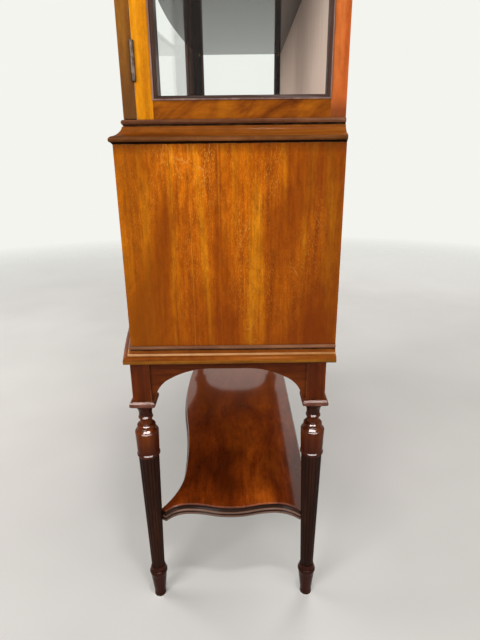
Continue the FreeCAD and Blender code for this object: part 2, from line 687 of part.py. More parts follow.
class Lock:
    """Cut lock in the right-hand meeting stile. The key's bit turns in the talon and throws the bolt."""

    def __init__(self, p_front, thickness, z):
        self.z = z
        self.edge = DOOR_GAP / 2
        self.front_y = bow_y(KEY_X, p_front)
        self.back_y = self.front_y + thickness - LOCK_RECESS
        self.bit_y = self.back_y - LOCK_DEPTH + LOCK_WALL + BOLT_CLEAR
        self.web_y = self.bit_y + KEY_BIT_T + BOLT_CLEAR
        self.web_back = self.web_y + BOLT_WEB_T
        self.bar_z0 = z + KEY_SHANK_R + BOLT_RISE
        self.bar_z1 = self.bar_z0 + BOLT_H
        self.mortise = box(self.edge - OVERCUT, self.edge + LOCK_W, self.back_y - LOCK_DEPTH,
                           self.back_y + LOCK_RECESS + OVERCUT, z - LOCK_LOW, z + LOCK_HIGH)
        self.bolt = self.make_bolt()
        self.key = self.make_key()
        self.case = self.make_case()
        self.plate = self.make_plate()
        hole = self.keyhole(self.front_y - OVERCUT, self.front_y + 2 * ESCUTCHEON_T)
        self.escutcheon = self.plate.cut(hole)

    def shaft(self, radius, y0, y1):
        return Part.makeCylinder(radius, y1 - y0, V(KEY_X, y0, self.z), V(0, 1, 0))

    def keyhole(self, y0, y1):
        half = KEY_BIT_T / 2 + KEY_RUN * 3
        slot = box(KEY_X - half, KEY_X + half, y0, y1, self.z - KEY_BIT_R - KEY_BIT_CLEAR, self.z)
        return self.shaft(KEY_SHANK_R + KEY_RUN, y0, y1).fuse(slot)

    def bolt_slot(self, x0, x1):
        """Clear space for the bolt's head, in the lock's edge and in the keep of the other door."""
        return box(x0, x1, self.bit_y - BOLT_CLEAR, self.web_back + BOLT_CLEAR,
                   self.bar_z0 - BOLT_CLEAR, self.bar_z1 + BOLT_CLEAR)

    def make_bolt(self):
        """Bar with a web behind the key and two lugs that form the talon."""
        low = self.z - KEY_BIT_R - 2 * KEY_BIT_CLEAR
        lead = KEY_X - TALON_LEAD
        trail = KEY_X + TALON_TRAIL
        x0 = lead - TALON_LUG
        x1 = trail + TALON_LUG
        lug_top = self.z - KEY_SHANK_R - TALON_RISE
        bar = box(self.edge + BOLT_SET_BACK, x1, self.bit_y, self.web_back, self.bar_z0, self.bar_z1)
        web = box(x0, x1, self.web_y, self.web_back, low, self.bar_z0)
        lug_a = box(x0, lead, self.bit_y, self.web_y, low, lug_top)
        lug_b = box(trail, x1, self.bit_y, self.web_y, low, lug_top)
        return bar.fuse([web, lug_a, lug_b]).removeSplitter()

    def make_key(self):
        tip = self.bit_y + KEY_BIT_T
        bow_y0 = self.front_y - KEY_OUT - KEY_BOW_R
        shank = self.shaft(KEY_SHANK_R, self.front_y - KEY_OUT - KEY_STEM_LAP, tip)
        half = KEY_BIT_T / 2
        bit = box(KEY_X - half, KEY_X + half, self.bit_y, tip, self.z - KEY_BIT_R, self.z)
        collar_y = self.front_y - KEY_COLLAR_OUT
        collar = self.shaft(KEY_SHANK_R + KEY_COLLAR_RISE, collar_y - KEY_COLLAR_L, collar_y)
        ring_at = V(KEY_X - KEY_BOW_T / 2, bow_y0, self.z)
        ring = Part.makeCylinder(KEY_BOW_R, KEY_BOW_T, ring_at, V(1, 0, 0))
        ring = ring.cut(Part.makeCylinder(KEY_BOW_HOLE_R, KEY_BOW_T, ring_at, V(1, 0, 0)))
        return shank.fuse([bit, collar, ring]).removeSplitter()

    def make_case(self):
        y0 = self.back_y - LOCK_DEPTH
        x1 = self.edge + LOCK_W
        case = box(self.edge, x1, y0, self.back_y, self.z - LOCK_LOW, self.z + LOCK_HIGH)
        case = case.cut(box(self.edge + LOCK_WALL, x1 - LOCK_WALL, y0 + LOCK_WALL, self.back_y - LOCK_WALL,
                            self.z - LOCK_LOW + LOCK_WALL, self.z + LOCK_HIGH - LOCK_WALL))
        case = case.cut(self.keyhole(y0 - OVERCUT, y0 + LOCK_WALL + BOLT_CLEAR))
        return case.cut(self.bolt_slot(self.edge - OVERCUT, self.edge + LOCK_WALL + OVERCUT))

    def make_plate(self):
        """Outline of the escutcheon: a disc let into the stile, with a drop below it for the key's bit."""
        y0 = self.front_y - ESCUTCHEON_PROUD
        disc = self.shaft(ESCUTCHEON_R, y0, y0 + ESCUTCHEON_T)
        drop_at = V(KEY_X, y0, self.z - ESCUTCHEON_R)
        drop = Part.makeCylinder(ESCUTCHEON_DROP_R, ESCUTCHEON_T, drop_at, V(0, 1, 0))
        return disc.fuse(drop).removeSplitter()

    def seat(self, stile):
        """Mortise, keyhole and escutcheon seat in the right-hand meeting stile."""
        return stile.cut(self.mortise).cut(self.keyhole(self.front_y - OVERCUT, self.back_y)).cut(self.plate)

    def keep(self, stile):
        """Mortise for the bolt's head in the left-hand meeting stile."""
        return stile.cut(self.bolt_slot(-self.edge - BOLT_THROW, -self.edge + OVERCUT))


class SlipBolt:
    """Dovetailed bolt in the back of a left-hand meeting stile, drawn back at rest."""

    def __init__(self, p_back, door_end, direction):
        self.back_y = bow_y(SLIP_X, p_back) - SLIP_SET_BACK
        self.direction = direction
        self.tip = door_end - direction * SLIP_END_GAP
        foot = self.tip - direction * SLIP_L
        knob_at = V(-SLIP_X, self.back_y - OVERCUT, (self.tip + foot) / 2)
        knob = Part.makeCylinder(SLIP_KNOB_R, SLIP_KNOB_H + OVERCUT, knob_at, V(0, 1, 0))
        self.bolt = self.bar(0, foot, self.tip).fuse(knob).removeSplitter()
        self.groove = self.bar(SLIP_CLEAR, foot - direction * SLIP_CLEAR, door_end + direction * OVERCUT)

    def bar(self, grow, z_from, z_to):
        z0 = min(z_from, z_to)
        back = SLIP_W / 2 + grow
        front = back + SLIP_SPREAD
        y_front = self.back_y - SLIP_DEPTH - grow
        y_back = self.back_y + (SLIP_SET_BACK + OVERCUT if grow else 0)
        points = [V(-SLIP_X - back, y_back, z0), V(-SLIP_X + back, y_back, z0),
                  V(-SLIP_X + front, y_front, z0), V(-SLIP_X - front, y_front, z0)]
        return prism(points, UP * abs(z_to - z_from))

    def socket(self, wood):
        """Notch in the piece that the bolt shoots into."""
        half = SLIP_W / 2 + SLIP_SPREAD + SLIP_CLEAR
        z_to = self.tip + self.direction * (SLIP_THROW + OVERCUT)
        z0 = min(self.tip, z_to)
        z1 = max(self.tip, z_to)
        return wood.cut(box(-SLIP_X - half, -SLIP_X + half, self.back_y - SLIP_DEPTH - SLIP_CLEAR,
                            self.back_y + OVERCUT, z0, z1))


def bead_steps(depth, width):
    """Section of an outer glazing moulding: an ovolo with a small square at its outer edge."""
    return [(width, 0), (width, depth * 0.2), (width * 0.78, depth * 0.6, width * 0.32, depth * 0.84),
            (width * 0.32, depth), (0, depth)]


def inner_bead_steps(depth, width):
    """Section of an inner glazing bead, with its corner taken off."""
    return [(width, 0), (width, depth * 0.5), (width * 0.5, depth), (0, depth)]


def mitre_zones(u0, u1, z0, z1, place, along):
    """Four zones round an opening, bottom, right, top and left, that meet on its mitre lines."""
    w = BEAD_W
    outer = [(u0, z0), (u1, z0), (u1, z1), (u0, z1)]
    inner = [(u0 + w, z0 + w), (u1 - w, z0 + w), (u1 - w, z1 - w), (u0 + w, z1 - w)]
    zones = []
    for i in range(4):
        j = (i + 1) % 4
        zones.append(prism([place(*outer[i]), place(*outer[j]), place(*inner[j]), place(*inner[i])], along))
    return zones


def bow_bead_frame(xa, xb, za, zb, p_glass, steps, sign):
    """Four mitred glazing beads round a bowed opening. sign is 1 outside the glass and -1 inside."""
    steps = flats((0, 0), steps, MOULDING_FLATS)
    p_bed = p_glass + sign * BEAD_BED

    def upright(x_edge, turn):
        def place(w, d):
            x = x_edge + turn * w
            return V(x, bow_y(x, p_bed + sign * d), za)
        return profile_face((0, 0), steps, place).extrude(UP * (zb - za))

    def rail(z_edge, turn):
        margin = 2 * BEAD_W
        moved = [(p_bed + sign * d, z_edge + turn * w) for w, d in steps]
        return bow_sweep(xa - margin, xb + margin, (p_bed, z_edge), moved)

    zones = mitre_zones(xa, xb, za, zb, lambda x, z: V(x, Y_MID - CASE_DEPTH, z), V(0, 2 * CASE_DEPTH, 0))
    beads = [rail(za, 1), upright(xb, -1), rail(zb, -1), upright(xa, 1)]
    return [bead.common(zone) for bead, zone in zip(beads, zones)]


def end_bead_frame(ya, yb, za, zb, x_glass, steps, sign):
    """Four mitred glazing beads round the flat opening of the right-hand end."""
    steps = flats((0, 0), steps, MOULDING_FLATS)
    x_bed = x_glass + sign * BEAD_BED

    def upright(y_edge, turn):
        face = profile_face((0, 0), steps, lambda w, d: V(x_bed + sign * d, y_edge + turn * w, za))
        return face.extrude(UP * (zb - za))

    def rail(z_edge, turn):
        face = profile_face((0, 0), steps, lambda w, d: V(x_bed + sign * d, ya, z_edge + turn * w))
        return face.extrude(V(0, yb - ya, 0))

    zones = mitre_zones(ya, yb, za, zb, lambda y, z: V(0, y, z), V(CASE_W, 0, 0))
    beads = [rail(za, 1), upright(yb, -1), rail(zb, -1), upright(ya, 1)]
    return [bead.common(zone) for bead, zone in zip(beads, zones)]


def make_glazed_door():
    """Right-hand glazed door: two stiles, two rails, the bent glass and its beads."""
    x0 = DOOR_GAP / 2
    x1 = HALF_TOP
    xa = x0 + STILE_W
    xb = x1 - STILE_W
    za = DOOR_Z0 + DOOR_BOTTOM_RAIL
    zb = DOOR_Z1 - DOOR_TOP_RAIL
    meeting = bow_slab(x0, xa, DOOR_FRONT, DOOR_BACK, DOOR_Z0, DOOR_Z1)
    hanging = bow_slab(xb, x1, DOOR_FRONT, DOOR_BACK, DOOR_Z0, DOOR_Z1)
    rails = [bow_slab(xa, xb, DOOR_FRONT, DOOR_BACK, DOOR_Z0, za),
             bow_slab(xa, xb, DOOR_FRONT, DOOR_BACK, zb, DOOR_Z1)]
    p_glass = DOOR_FRONT - GLASS_DEPTH
    p_inner = p_glass - GLASS_T
    glass = bow_slab(xa, xb, p_glass, p_inner, za, zb)
    beads = bow_bead_frame(xa, xb, za, zb, p_glass, bead_steps(GLASS_DEPTH + BEAD_PROUD, BEAD_W), 1)
    inner_depth = GLAZED_DOOR_T - GLASS_DEPTH - GLASS_T - BEAD_SET_BACK
    beads += bow_bead_frame(xa, xb, za, zb, p_inner, inner_bead_steps(inner_depth, BEAD_W), -1)
    return meeting, hanging, rails, glass, beads


def make_cupboard_door():
    """Right-hand cupboard door: framed, with a fielded panel held in grooves."""
    x0 = DOOR_GAP / 2
    x1 = HALF_CASE - SIDE_T - DOOR_GAP
    z0 = CASE_FLOOR_Z + DOOR_GAP
    z1 = CASE_CEIL_Z - DOOR_GAP
    xa = x0 + CUPBOARD_STILE_W
    xb = x1 - CUPBOARD_STILE_W
    za = z0 + CUPBOARD_RAIL_W
    zb = z1 - CUPBOARD_RAIL_W
    back = -CUPBOARD_DOOR_T
    p_panel = -PANEL_DEPTH
    t = PANEL_TONGUE
    panel = bow_slab(xa - t, xb + t, p_panel, p_panel - PANEL_T, za - t, zb + t)
    meeting = bow_slab(x0, xa, 0, back, z0, z1).cut(panel)
    hanging = hanging_stile(xb, z0, z1).cut(panel)
    rails = [bow_slab(xa, xb, 0, back, z0, za).cut(panel), bow_slab(xa, xb, 0, back, zb, z1).cut(panel)]
    m = PANEL_MARGIN
    field = bow_slab(xa + m, xb - m, p_panel + PANEL_FIELD_RISE, p_panel - PANEL_T / 2, za + m, zb - m)
    return meeting, hanging, rails, panel.fuse(field).removeSplitter()


def make_end():
    """Right-hand glazed end: stiles, rails, glass and beads."""
    x1 = HALF_TOP
    x0 = x1 - END_T
    ya = bow_y(HALF_TOP, END_FRONT) + FRONT_STILE_W
    yb = Y_BACK - BACK_STILE_W
    za = PLINTH_Z1 + END_BOTTOM_RAIL
    zb = FRAME_Z1 - END_TOP_RAIL
    front = bow_board(x0, x1, END_FRONT, ya, PLINTH_Z1, FRAME_Z1)
    back = box(x0, x1, yb, Y_BACK, PLINTH_Z1, FRAME_Z1)
    rails = [box(x0, x1, ya, yb, PLINTH_Z1, za), box(x0, x1, ya, yb, zb, FRAME_Z1)]
    x_glass = x1 - GLASS_DEPTH
    glass = box(x_glass - GLASS_T, x_glass, ya, yb, za, zb)
    beads = end_bead_frame(ya, yb, za, zb, x_glass, bead_steps(GLASS_DEPTH + BEAD_PROUD, BEAD_W), 1)
    inner_depth = END_T - GLASS_DEPTH - GLASS_T - BEAD_SET_BACK
    beads += end_bead_frame(ya, yb, za, zb, x_glass - GLASS_T, inner_bead_steps(inner_depth, BEAD_W), -1)
    return front, back, rails, glass, beads


def make_studs():
    """Studs under the right-hand ends of the shelves, let into the stiles."""
    x_face = HALF_TOP - END_T
    front_y = bow_y(HALF_TOP, END_FRONT) + FRONT_STILE_W - STUD_EDGE
    back_y = (Y_BACK - BACK_STILE_W + LINING_FACE) / 2
    studs = []
    for shelf_z in SHELF_Z:
        for y in (front_y, back_y):
            at = V(x_face - STUD_OUT, y, shelf_z - STUD_R)
            studs.append(Part.makeCylinder(STUD_R, STUD_IN + STUD_OUT, at, V(1, 0, 0)))
    return studs


def scaled(shares, proud, inset, z, height):
    """Profile steps from shares: out of the face by proud, into it by inset, and up from z by height."""
    steps = []
    for share in shares:
        step = []
        for p, rise in zip(share[::2], share[1::2]):
            step += [p * (proud if p > 0 else inset), z + rise * height]
        steps.append(tuple(step))
    return steps


def base_profile():
    """Moulding round the foot of the case, from its underside up: fascia, ogee, cove and bead."""
    z = STAND_H - BASE_DROP
    shares = [
        (0.97, 0), (1, 0.04), (1, 0.22), (0.9, 0.34, 0.5, 0.41), (0.42, 0.42), (0.42, 0.54),
        (0.21, 0.58, 0.15, 0.71), (0.08, 0.73), (0.08, 0.78), (0.25, 0.89, 0.1, 1), (0, 1)]
    return (0, z), scaled(shares, BASE_PROJ, 0, z, BASE_H)


def waist_profile():
    """Moulding between case and glazed top: nosing, cyma and top bead, seated on the case's edge."""
    shares = [
        (0.43, 0.08), (1, 0.17, 0.66, 0.29), (0.3, 0.33), (-0.3, 0.4, -0.6, 0.53), (-0.72, 0.6, -0.8, 0.72),
        (-0.93, 0.74), (-0.93, 0.79), (-0.74, 0.89, -0.9, 1), (-1, 1)]
    steps = scaled(shares, WAIST_PROJ, SETBACK, WAIST_Z, WAIST_H)
    return (0, WAIST_Z), steps + [(-SETBACK, CASE_Z1), (0, CASE_Z1)]


def cornice_profile():
    """Cornice round the top: bead, cavetto, ovolo and square top edge, weathered back to the top board."""
    shares = [
        (0.1, 0), (0.187, 0.048, 0.1, 0.095), (0.133, 0.119), (0.3, 0.397, 0.733, 0.571), (0.8, 0.603),
        (0.96, 0.667, 0.9, 0.762), (1, 0.794), (1, 0.968), (0.933, 1), (0.467, 1)]
    return (0, CORNICE_Z0), scaled(shares, CORNICE_PROJ, 0, CORNICE_Z0, CORNICE_H) + [(0, TOP_Z1)]


def leg_blocks():
    """Square tops of the four legs."""
    h = LEG_BLOCK / 2
    return [box(x - h, x + h, y - h, y + h, BLOCK_Z0, STAND_H) for x, y in LEG_PLACES.values()]


def build_stand():
    """Four turned legs, the aprons between them, the corner blocks and the undertier."""
    leg = make_leg()
    for name, (x, y) in LEG_PLACES.items():
        save("leg_" + name, [leg.translated(V(x, y, 0))])
    front, back, end = make_aprons()
    aprons = [front, back, end, flip(end)]
    for name, apron in zip(("front", "back", "right", "left"), aprons):
        save("apron_" + name, [apron])
    save("stand_corner_blocks", make_corner_blocks(leg_blocks() + aprons))
    save("undertier", [make_undertier()])


def lipped_board(half, z0, z1):
    """Floor or top of the case: a lipping on the bow, at the doors, and the board behind it."""
    behind = -CUPBOARD_DOOR_T - LIPPING_REACH
    return bow_slab(-half, half, 0, behind, z0, z1), bow_board(-half, half, behind, BACK_FACE, z0, z1)


def build_case():
    """Cupboard case with its two doors. The hinges, lock and bolts cut their own seats."""
    inner = HALF_CASE - SIDE_T
    legs = Part.makeCompound(leg_blocks())
    side = bow_board(inner, HALF_CASE, 0, Y_BACK, CASE_Z0, CASE_Z1)
    floor_lip, floor = lipped_board(inner, CASE_Z0, CASE_FLOOR_Z)
    top_lip, top = lipped_board(inner, CASE_CEIL_Z, CASE_Z1)
    meeting, hanging, rails, panel = make_cupboard_door()
    z0 = CASE_FLOOR_Z + DOOR_GAP
    z1 = CASE_CEIL_Z - DOOR_GAP
    pivots = [Pivot(z0, -1), Pivot(z1, 1)]
    for pivot in pivots:
        hanging = hanging.cut(pivot.door_seat).cut(pivot.bore)
        for seat in (pivot.case_seat, flip(pivot.case_seat)):
            floor_lip = floor_lip.cut(seat)
            top_lip = top_lip.cut(seat)
    lock = Lock(0, CUPBOARD_DOOR_T, CASE_FLOOR_Z + CUPBOARD_KEY_H)
    upper = SlipBolt(-CUPBOARD_DOOR_T, z1, 1)
    lower = SlipBolt(-CUPBOARD_DOOR_T, z0, -1)
    left_meeting = lock.keep(flip(meeting)).cut(upper.groove).cut(lower.groove)
    save("case_side_right", [side])
    save("case_side_left", [flip(side)])
    save("case_floor", [floor, lower.socket(floor_lip)])
    save("case_top", [top, upper.socket(top_lip)])
    save("case_back", [box(-inner, inner, BACK_FACE, Y_BACK, CASE_Z0, CASE_Z1)])
    save("base_moulding", [length.cut(legs) for length in mitred_moulding(HALF_CASE, 0, *base_profile())])
    save("waist_moulding", mitred_moulding(HALF_CASE, 0, *waist_profile()))
    save("cupboard_door_right_frame", [lock.seat(meeting), hanging] + rails)
    save("cupboard_door_left_frame", [left_meeting, flip(hanging)] + [flip(r) for r in rails])
    save("cupboard_door_right_panel", [panel])
    save("cupboard_door_left_panel", [flip(panel)])
    save("cupboard_hinge_leaves_right", [p.moving for p in pivots])
    save("cupboard_hinge_leaves_left", [flip(p.moving) for p in pivots])
    save("cupboard_lock", [lock.case])
    save("cupboard_lock_bolt", [lock.bolt])
    save("cupboard_key", [lock.key])
    save("cupboard_escutcheon", [lock.escutcheon])
    save("cupboard_slip_bolt_top", [upper.bolt])
    save("cupboard_slip_bolt_bottom", [lower.bolt])
    return pivots


def build_top():
    """Glazed top: plinth, ends, back, shelves, frieze, cornice and two bowed doors."""
    inner = HALF_TOP - END_T
    plinth = bow_board(-HALF_TOP, HALF_TOP, DOOR_FRONT, Y_BACK, CASE_Z1, PLINTH_Z1)
    frieze = bow_slab(-HALF_TOP, HALF_TOP, DOOR_FRONT, DOOR_BACK, FRIEZE_Z0, FRAME_Z1)
    front_stile, back_stile, end_rails, end_glass, end_beads = make_end()
    studs = make_studs()
    for stud in studs:
        front_stile = front_stile.cut(stud)
        back_stile = back_stile.cut(stud)
    meeting, hanging, rails, glass, beads = make_glazed_door()
    hinges = [glazed_hinge(DOOR_Z0 + HINGE_FROM_END), glazed_hinge(DOOR_Z1 - HINGE_FROM_END - HINGE_L)]
    for hinge in hinges:
        front_stile = hinge.seat(front_stile, 1)
        hanging = hinge.seat(hanging, -1)
    lock = Lock(DOOR_FRONT, GLAZED_DOOR_T, DOOR_Z0 + DOOR_H / 2)
    upper = SlipBolt(DOOR_BACK, DOOR_Z1, 1)
    lower = SlipBolt(DOOR_BACK, DOOR_Z0, -1)
    left_meeting = lock.keep(flip(meeting)).cut(upper.groove).cut(lower.groove)
    end_pieces = [front_stile, back_stile] + end_rails
    save("vitrine_plinth", [lower.socket(plinth)])
    save("vitrine_frieze", [upper.socket(frieze)])
    save("vitrine_top", [bow_board(-HALF_TOP, HALF_TOP, DOOR_FRONT, Y_BACK, FRAME_Z1, TOP_Z1)])
    save("vitrine_back", [box(-inner, inner, BACK_FACE, Y_BACK, PLINTH_Z1, FRAME_Z1)])
    save("back_lining_board", [box(-inner, inner, LINING_FACE, BACK_FACE, PLINTH_Z1, FRAME_Z1)])
    save("end_frame_right", end_pieces)
    save("end_frame_left", [flip(p) for p in end_pieces])
    save("end_glass_right", [end_glass])
    save("end_glass_left", [flip(end_glass)])
    save("end_beads_right", end_beads)
    save("end_beads_left", [flip(b) for b in end_beads])
    save("shelf_studs", studs + [flip(s) for s in studs])
    wide = inner - SHELF_SIDE_GAP
    for name, z in zip(("lower", "upper"), SHELF_Z):
        shelf = bow_board(-wide, wide, DOOR_BACK - SHELF_FRONT_GAP, LINING_FACE, z, z + SHELF_T)
        save("shelf_" + name, [shelf])
    save("cornice", mitred_moulding(HALF_TOP, DOOR_FRONT, *cornice_profile()))
    save("glazed_door_right_frame", [lock.seat(meeting), hanging] + rails)
    save("glazed_door_left_frame", [left_meeting, flip(hanging)] + [flip(r) for r in rails])
    save("glazed_door_right_glass", [glass])
    save("glazed_door_left_glass", [flip(glass)])
    save("glazed_door_right_beads", beads)
    save("glazed_door_left_beads", [flip(b) for b in beads])
    save("glazed_hinge_leaves_right", [h.moving for h in hinges])
    save("glazed_hinge_leaves_left", [flip(h.moving) for h in hinges])
    save("glazed_lock", [lock.case])
    save("glazed_lock_bolt", [lock.bolt])
    save("glazed_key", [lock.key])
    save("glazed_escutcheon", [lock.escutcheon])
    save("glazed_slip_bolt_top", [upper.bolt])
    save("glazed_slip_bolt_bottom", [lower.bolt])
    return hinges


def main():
    os.makedirs("parts", exist_ok=True)
    build_stand()
    pivots = build_case()
    hinges = build_top()
    fixed = [h.fixed for h in hinges + pivots]
    pins = [h.pin for h in hinges]
    save("hinge_fixed_leaves", fixed + [flip(f) for f in fixed])
    save("hinge_pins", pins + [flip(p) for p in pins])


main()
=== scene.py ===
"""Looks of the bow-fronted display cabinet: polished woods, bent glass, brass fittings and cloth."""
import math

import bmesh
import bpy
from mathutils import Matrix, Vector


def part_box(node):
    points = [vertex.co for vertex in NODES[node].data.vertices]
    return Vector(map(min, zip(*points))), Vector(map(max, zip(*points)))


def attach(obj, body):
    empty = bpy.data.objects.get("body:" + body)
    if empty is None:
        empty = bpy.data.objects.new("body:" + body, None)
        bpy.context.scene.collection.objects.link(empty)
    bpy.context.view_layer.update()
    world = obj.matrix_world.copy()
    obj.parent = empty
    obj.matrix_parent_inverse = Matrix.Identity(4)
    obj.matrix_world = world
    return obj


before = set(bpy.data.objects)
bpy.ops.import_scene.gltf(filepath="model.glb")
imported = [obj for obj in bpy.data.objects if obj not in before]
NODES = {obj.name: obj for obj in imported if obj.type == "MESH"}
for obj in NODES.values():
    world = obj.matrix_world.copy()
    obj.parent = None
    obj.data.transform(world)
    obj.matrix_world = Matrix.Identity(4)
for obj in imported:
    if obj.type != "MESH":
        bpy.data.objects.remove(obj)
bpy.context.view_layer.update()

X, Y, Z = 0, 1, 2
MM = 0.001

# Camera of the photograph: place in metres, turns in degrees down and clockwise, and focal length in pixels
CAMERA_AT = Vector((1.483, 0.0566, 0.973))
CAMERA_PITCH = 18.742
CAMERA_ROLL = 0.659
FOCAL_PX = 472.0
IMAGE_LONG_SIDE_PX = 640.0
SENSOR_MM = 36.0

# Places on the case, the glazed top and the undertier that the looks are set from
PANEL_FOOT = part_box("base_moulding")[1][Z]
PANEL_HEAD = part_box("waist_moulding")[0][Z]
PANEL_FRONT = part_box("case_side_right")[0][Y]
PANEL_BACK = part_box("case_side_right")[1][Y]
VITRINE_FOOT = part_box("end_frame_right")[0][Z]
END_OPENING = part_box("end_glass_right")
TIER_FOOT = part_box("undertier")[0][Z]

# Heights of the reeded shaft and of the square collar on the legs
REEDS = (86 * MM, 384 * MM)
COLLAR = (504 * MM, 518 * MM)

# Heights above the undertier's underside of the beads on its edge, which are painted pale as a highlight, and
# of its top arris
TIER_BEADS = ((4 * MM, 8 * MM), (12 * MM, 16 * MM))
TIER_ARRIS = 25 * MM

# Width of the glazing beads, and depth of their outer arris, which is painted paler as a highlight
BEAD_W = 9 * MM
BEAD_ARRIS = 0.6 * MM

# How far a moulding's end part reaches in from its outer face, and where it meets the front part
MOULDING_END = 24 * MM
MITRE_Y = -140 * MM


def srgb(code):
    """Linear colour of a six-digit sRGB code."""
    values = []
    for i in (0, 2, 4):
        c = int(code[i:i + 2], 16) / 255
        values.append(c / 12.92 if c <= 0.04045 else ((c + 0.055) / 1.055) ** 2.4)
    return (*values, 1.0)


class Look:
    """A material's node tree, with short calls to add and link nodes."""

    HOLLOW_SAMPLES = 6
    ARRIS_SAMPLES = 4
    # Places of the colour sockets among all the sockets of a Mix node
    MIX_A, MIX_B, MIX_RESULT = 6, 7, 2

    def __init__(self, name):
        self.material = bpy.data.materials.new(name)
        self.material.use_nodes = True
        self.tree = self.material.node_tree
        self.shader = self.tree.nodes["Principled BSDF"]
        self.coords = None

    def add(self, kind, **settings):
        node = self.tree.nodes.new(kind)
        for key, value in settings.items():
            setattr(node, key, value)
        return node

    def link(self, source, target):
        self.tree.links.new(source, target)

    def feed(self, value, socket):
        """Link a socket to another one, or set it to a plain value."""
        if isinstance(value, bpy.types.NodeSocket):
            self.link(value, socket)
        else:
            socket.default_value = value

    def set(self, **values):
        """Set the shader's own sockets."""
        for key, value in values.items():
            self.shader.inputs[key.replace("_", " ")].default_value = value

    def place(self):
        """Object coordinates in metres, which are the frame's own."""
        if self.coords is None:
            self.coords = self.add("ShaderNodeTexCoord")
        return self.coords.outputs["Object"]

    def level(self, axis):
        """One coordinate in metres."""
        node = self.add("ShaderNodeSeparateXYZ")
        self.link(self.place(), node.inputs[0])
        return node.outputs[axis]

    def mapped(self, scale, offset=(0, 0, 0), slant=0.0):
        """Object coordinates stretched by scale, after a turn by slant about X."""
        mapping = self.add("ShaderNodeMapping", vector_type="TEXTURE" if slant else "POINT")
        if slant:
            mapping.inputs["Rotation"].default_value = (slant, 0, 0)
            scale = tuple(1 / value for value in scale)
        mapping.inputs["Scale"].default_value = scale
        mapping.inputs["Location"].default_value = offset
        self.link(self.place(), mapping.inputs["Vector"])
        return mapping.outputs["Vector"]

    def noise(self, vector, detail, rough=0.55, twist=0.0):
        node = self.add("ShaderNodeTexNoise")
        node.inputs["Scale"].default_value = 1.0
        node.inputs["Detail"].default_value = detail
        node.inputs["Roughness"].default_value = rough
        node.inputs["Distortion"].default_value = twist
        self.link(vector, node.inputs["Vector"])
        return node.outputs["Fac"]

    def math(self, operation, *values):
        node = self.add("ShaderNodeMath", operation=operation)
        for value, socket in zip(values, node.inputs):
            self.feed(value, socket)
        return node.outputs[0]

    def ramp(self, factor, stops):
        """A colour that slides from stop to stop with the factor."""
        node = self.add("ShaderNodeValToRGB")
        elements = node.color_ramp.elements
        while len(elements) < len(stops):
            elements.new(0.5)
        for element, (place, colour) in zip(elements, stops):
            element.position = place
            element.color = colour
        self.link(factor, node.inputs["Fac"])
        return node.outputs["Color"]

    def grey(self, factor, low, high, start=0.3, stop=0.7):
        """A number from low to high as the factor goes from start to stop."""
        node = self.add("ShaderNodeMapRange")
        for key, value in (("From Min", start), ("From Max", stop), ("To Min", low), ("To Max", high)):
            node.inputs[key].default_value = value
        self.link(factor, node.inputs["Value"])
        return node.outputs["Result"]

    def mix(self, factor, a, b, blend="MIX"):
        node = self.add("ShaderNodeMix", data_type="RGBA", blend_type=blend)
        self.feed(factor, node.inputs[0])
        self.feed(a, node.inputs[self.MIX_A])
        self.feed(b, node.inputs[self.MIX_B])
        return node.outputs[self.MIX_RESULT]

    def hollows(self, reach):
        """How open the surface is, 0 deep in a corner and 1 on an open face."""
        node = self.add("ShaderNodeAmbientOcclusion", samples=self.HOLLOW_SAMPLES)
        node.inputs["Distance"].default_value = reach
        return node.outputs["AO"]

    def arrises(self, reach):
        """How far the surface turns within reach of a point, 0 on a plain face and more along an edge."""
        bevel = self.add("ShaderNodeBevel", samples=self.ARRIS_SAMPLES)
        bevel.inputs["Radius"].default_value = reach
        shape = self.add("ShaderNodeNewGeometry")
        node = self.add("ShaderNodeVectorMath", operation="DOT_PRODUCT")
        self.link(bevel.outputs["Normal"], node.inputs[0])
        self.link(shape.outputs["Normal"], node.inputs[1])
        return self.math("SUBTRACT", 1.0, node.outputs["Value"])

    def bump(self, height, strength, distance):
        node = self.add("ShaderNodeBump")
        node.inputs["Strength"].default_value = strength
        node.inputs["Distance"].default_value = distance
        self.link(height, node.inputs["Height"])
        self.link(node.outputs["Normal"], self.shader.inputs["Normal"])


# Repeats a metre, along the grain and across it, of the polished woods' fibres, pores, mottling and stains
FIBRE_GRAIN = (6, 210)
PORE_GRAIN = (230, 800)
MOTTLE_GRAIN = (34, 95)
STAIN_GRAIN = (3.5, 10)

# Repeats of the cells whose borders are the scratches, and a scratch's half width as a share of a cell
SCRATCH_GRAIN = (6, 14)
SCRATCH_WIDTH = 0.012

# Where the three tones of the figure lie, and how fibres and mottling tint them
FIGURE_STOPS = (0.30, 0.50, 0.70)
FIBRE_TINTS = ((0.28, (0.52, 0.46, 0.42, 1)), (0.64, (1.14, 1.12, 1.08, 1)))
MOTTLE_TINTS = ((0.32, (0.66, 0.60, 0.55, 1)), (0.66, (1.16, 1.14, 1.08, 1)))

# Share of the flecks' strength that dark pores have, and sideways play of a seam
PORE_SHARE = 0.8
SEAM_WAVER = 4 * MM

# Colour of the painted shade in the hollows, and how far that shade reaches out of a corner and wear in from
# an edge
HOLLOW_SHADE = "160a05"
HOLLOW_SHADE_REACH = 14 * MM
WEAR_REACH = 1.5 * MM

# Steps and numbers of steps in X, Y and Z by which the woods' names shift their grain
GRAIN_SHIFTS = ((0.37, 7), (0.21, 5), (0.13, 11))


def along(axis, length, across):
    """Scale that stretches a texture along one axis."""
    scale = [across] * 3
    scale[axis] = length
    return tuple(scale)


def grain_shift(name):
    """Offset that gives each wood its own stretch of the noise."""
    seed = sum(ord(c) for c in name)
    return tuple(step * (seed % count) for step, count in GRAIN_SHIFTS)


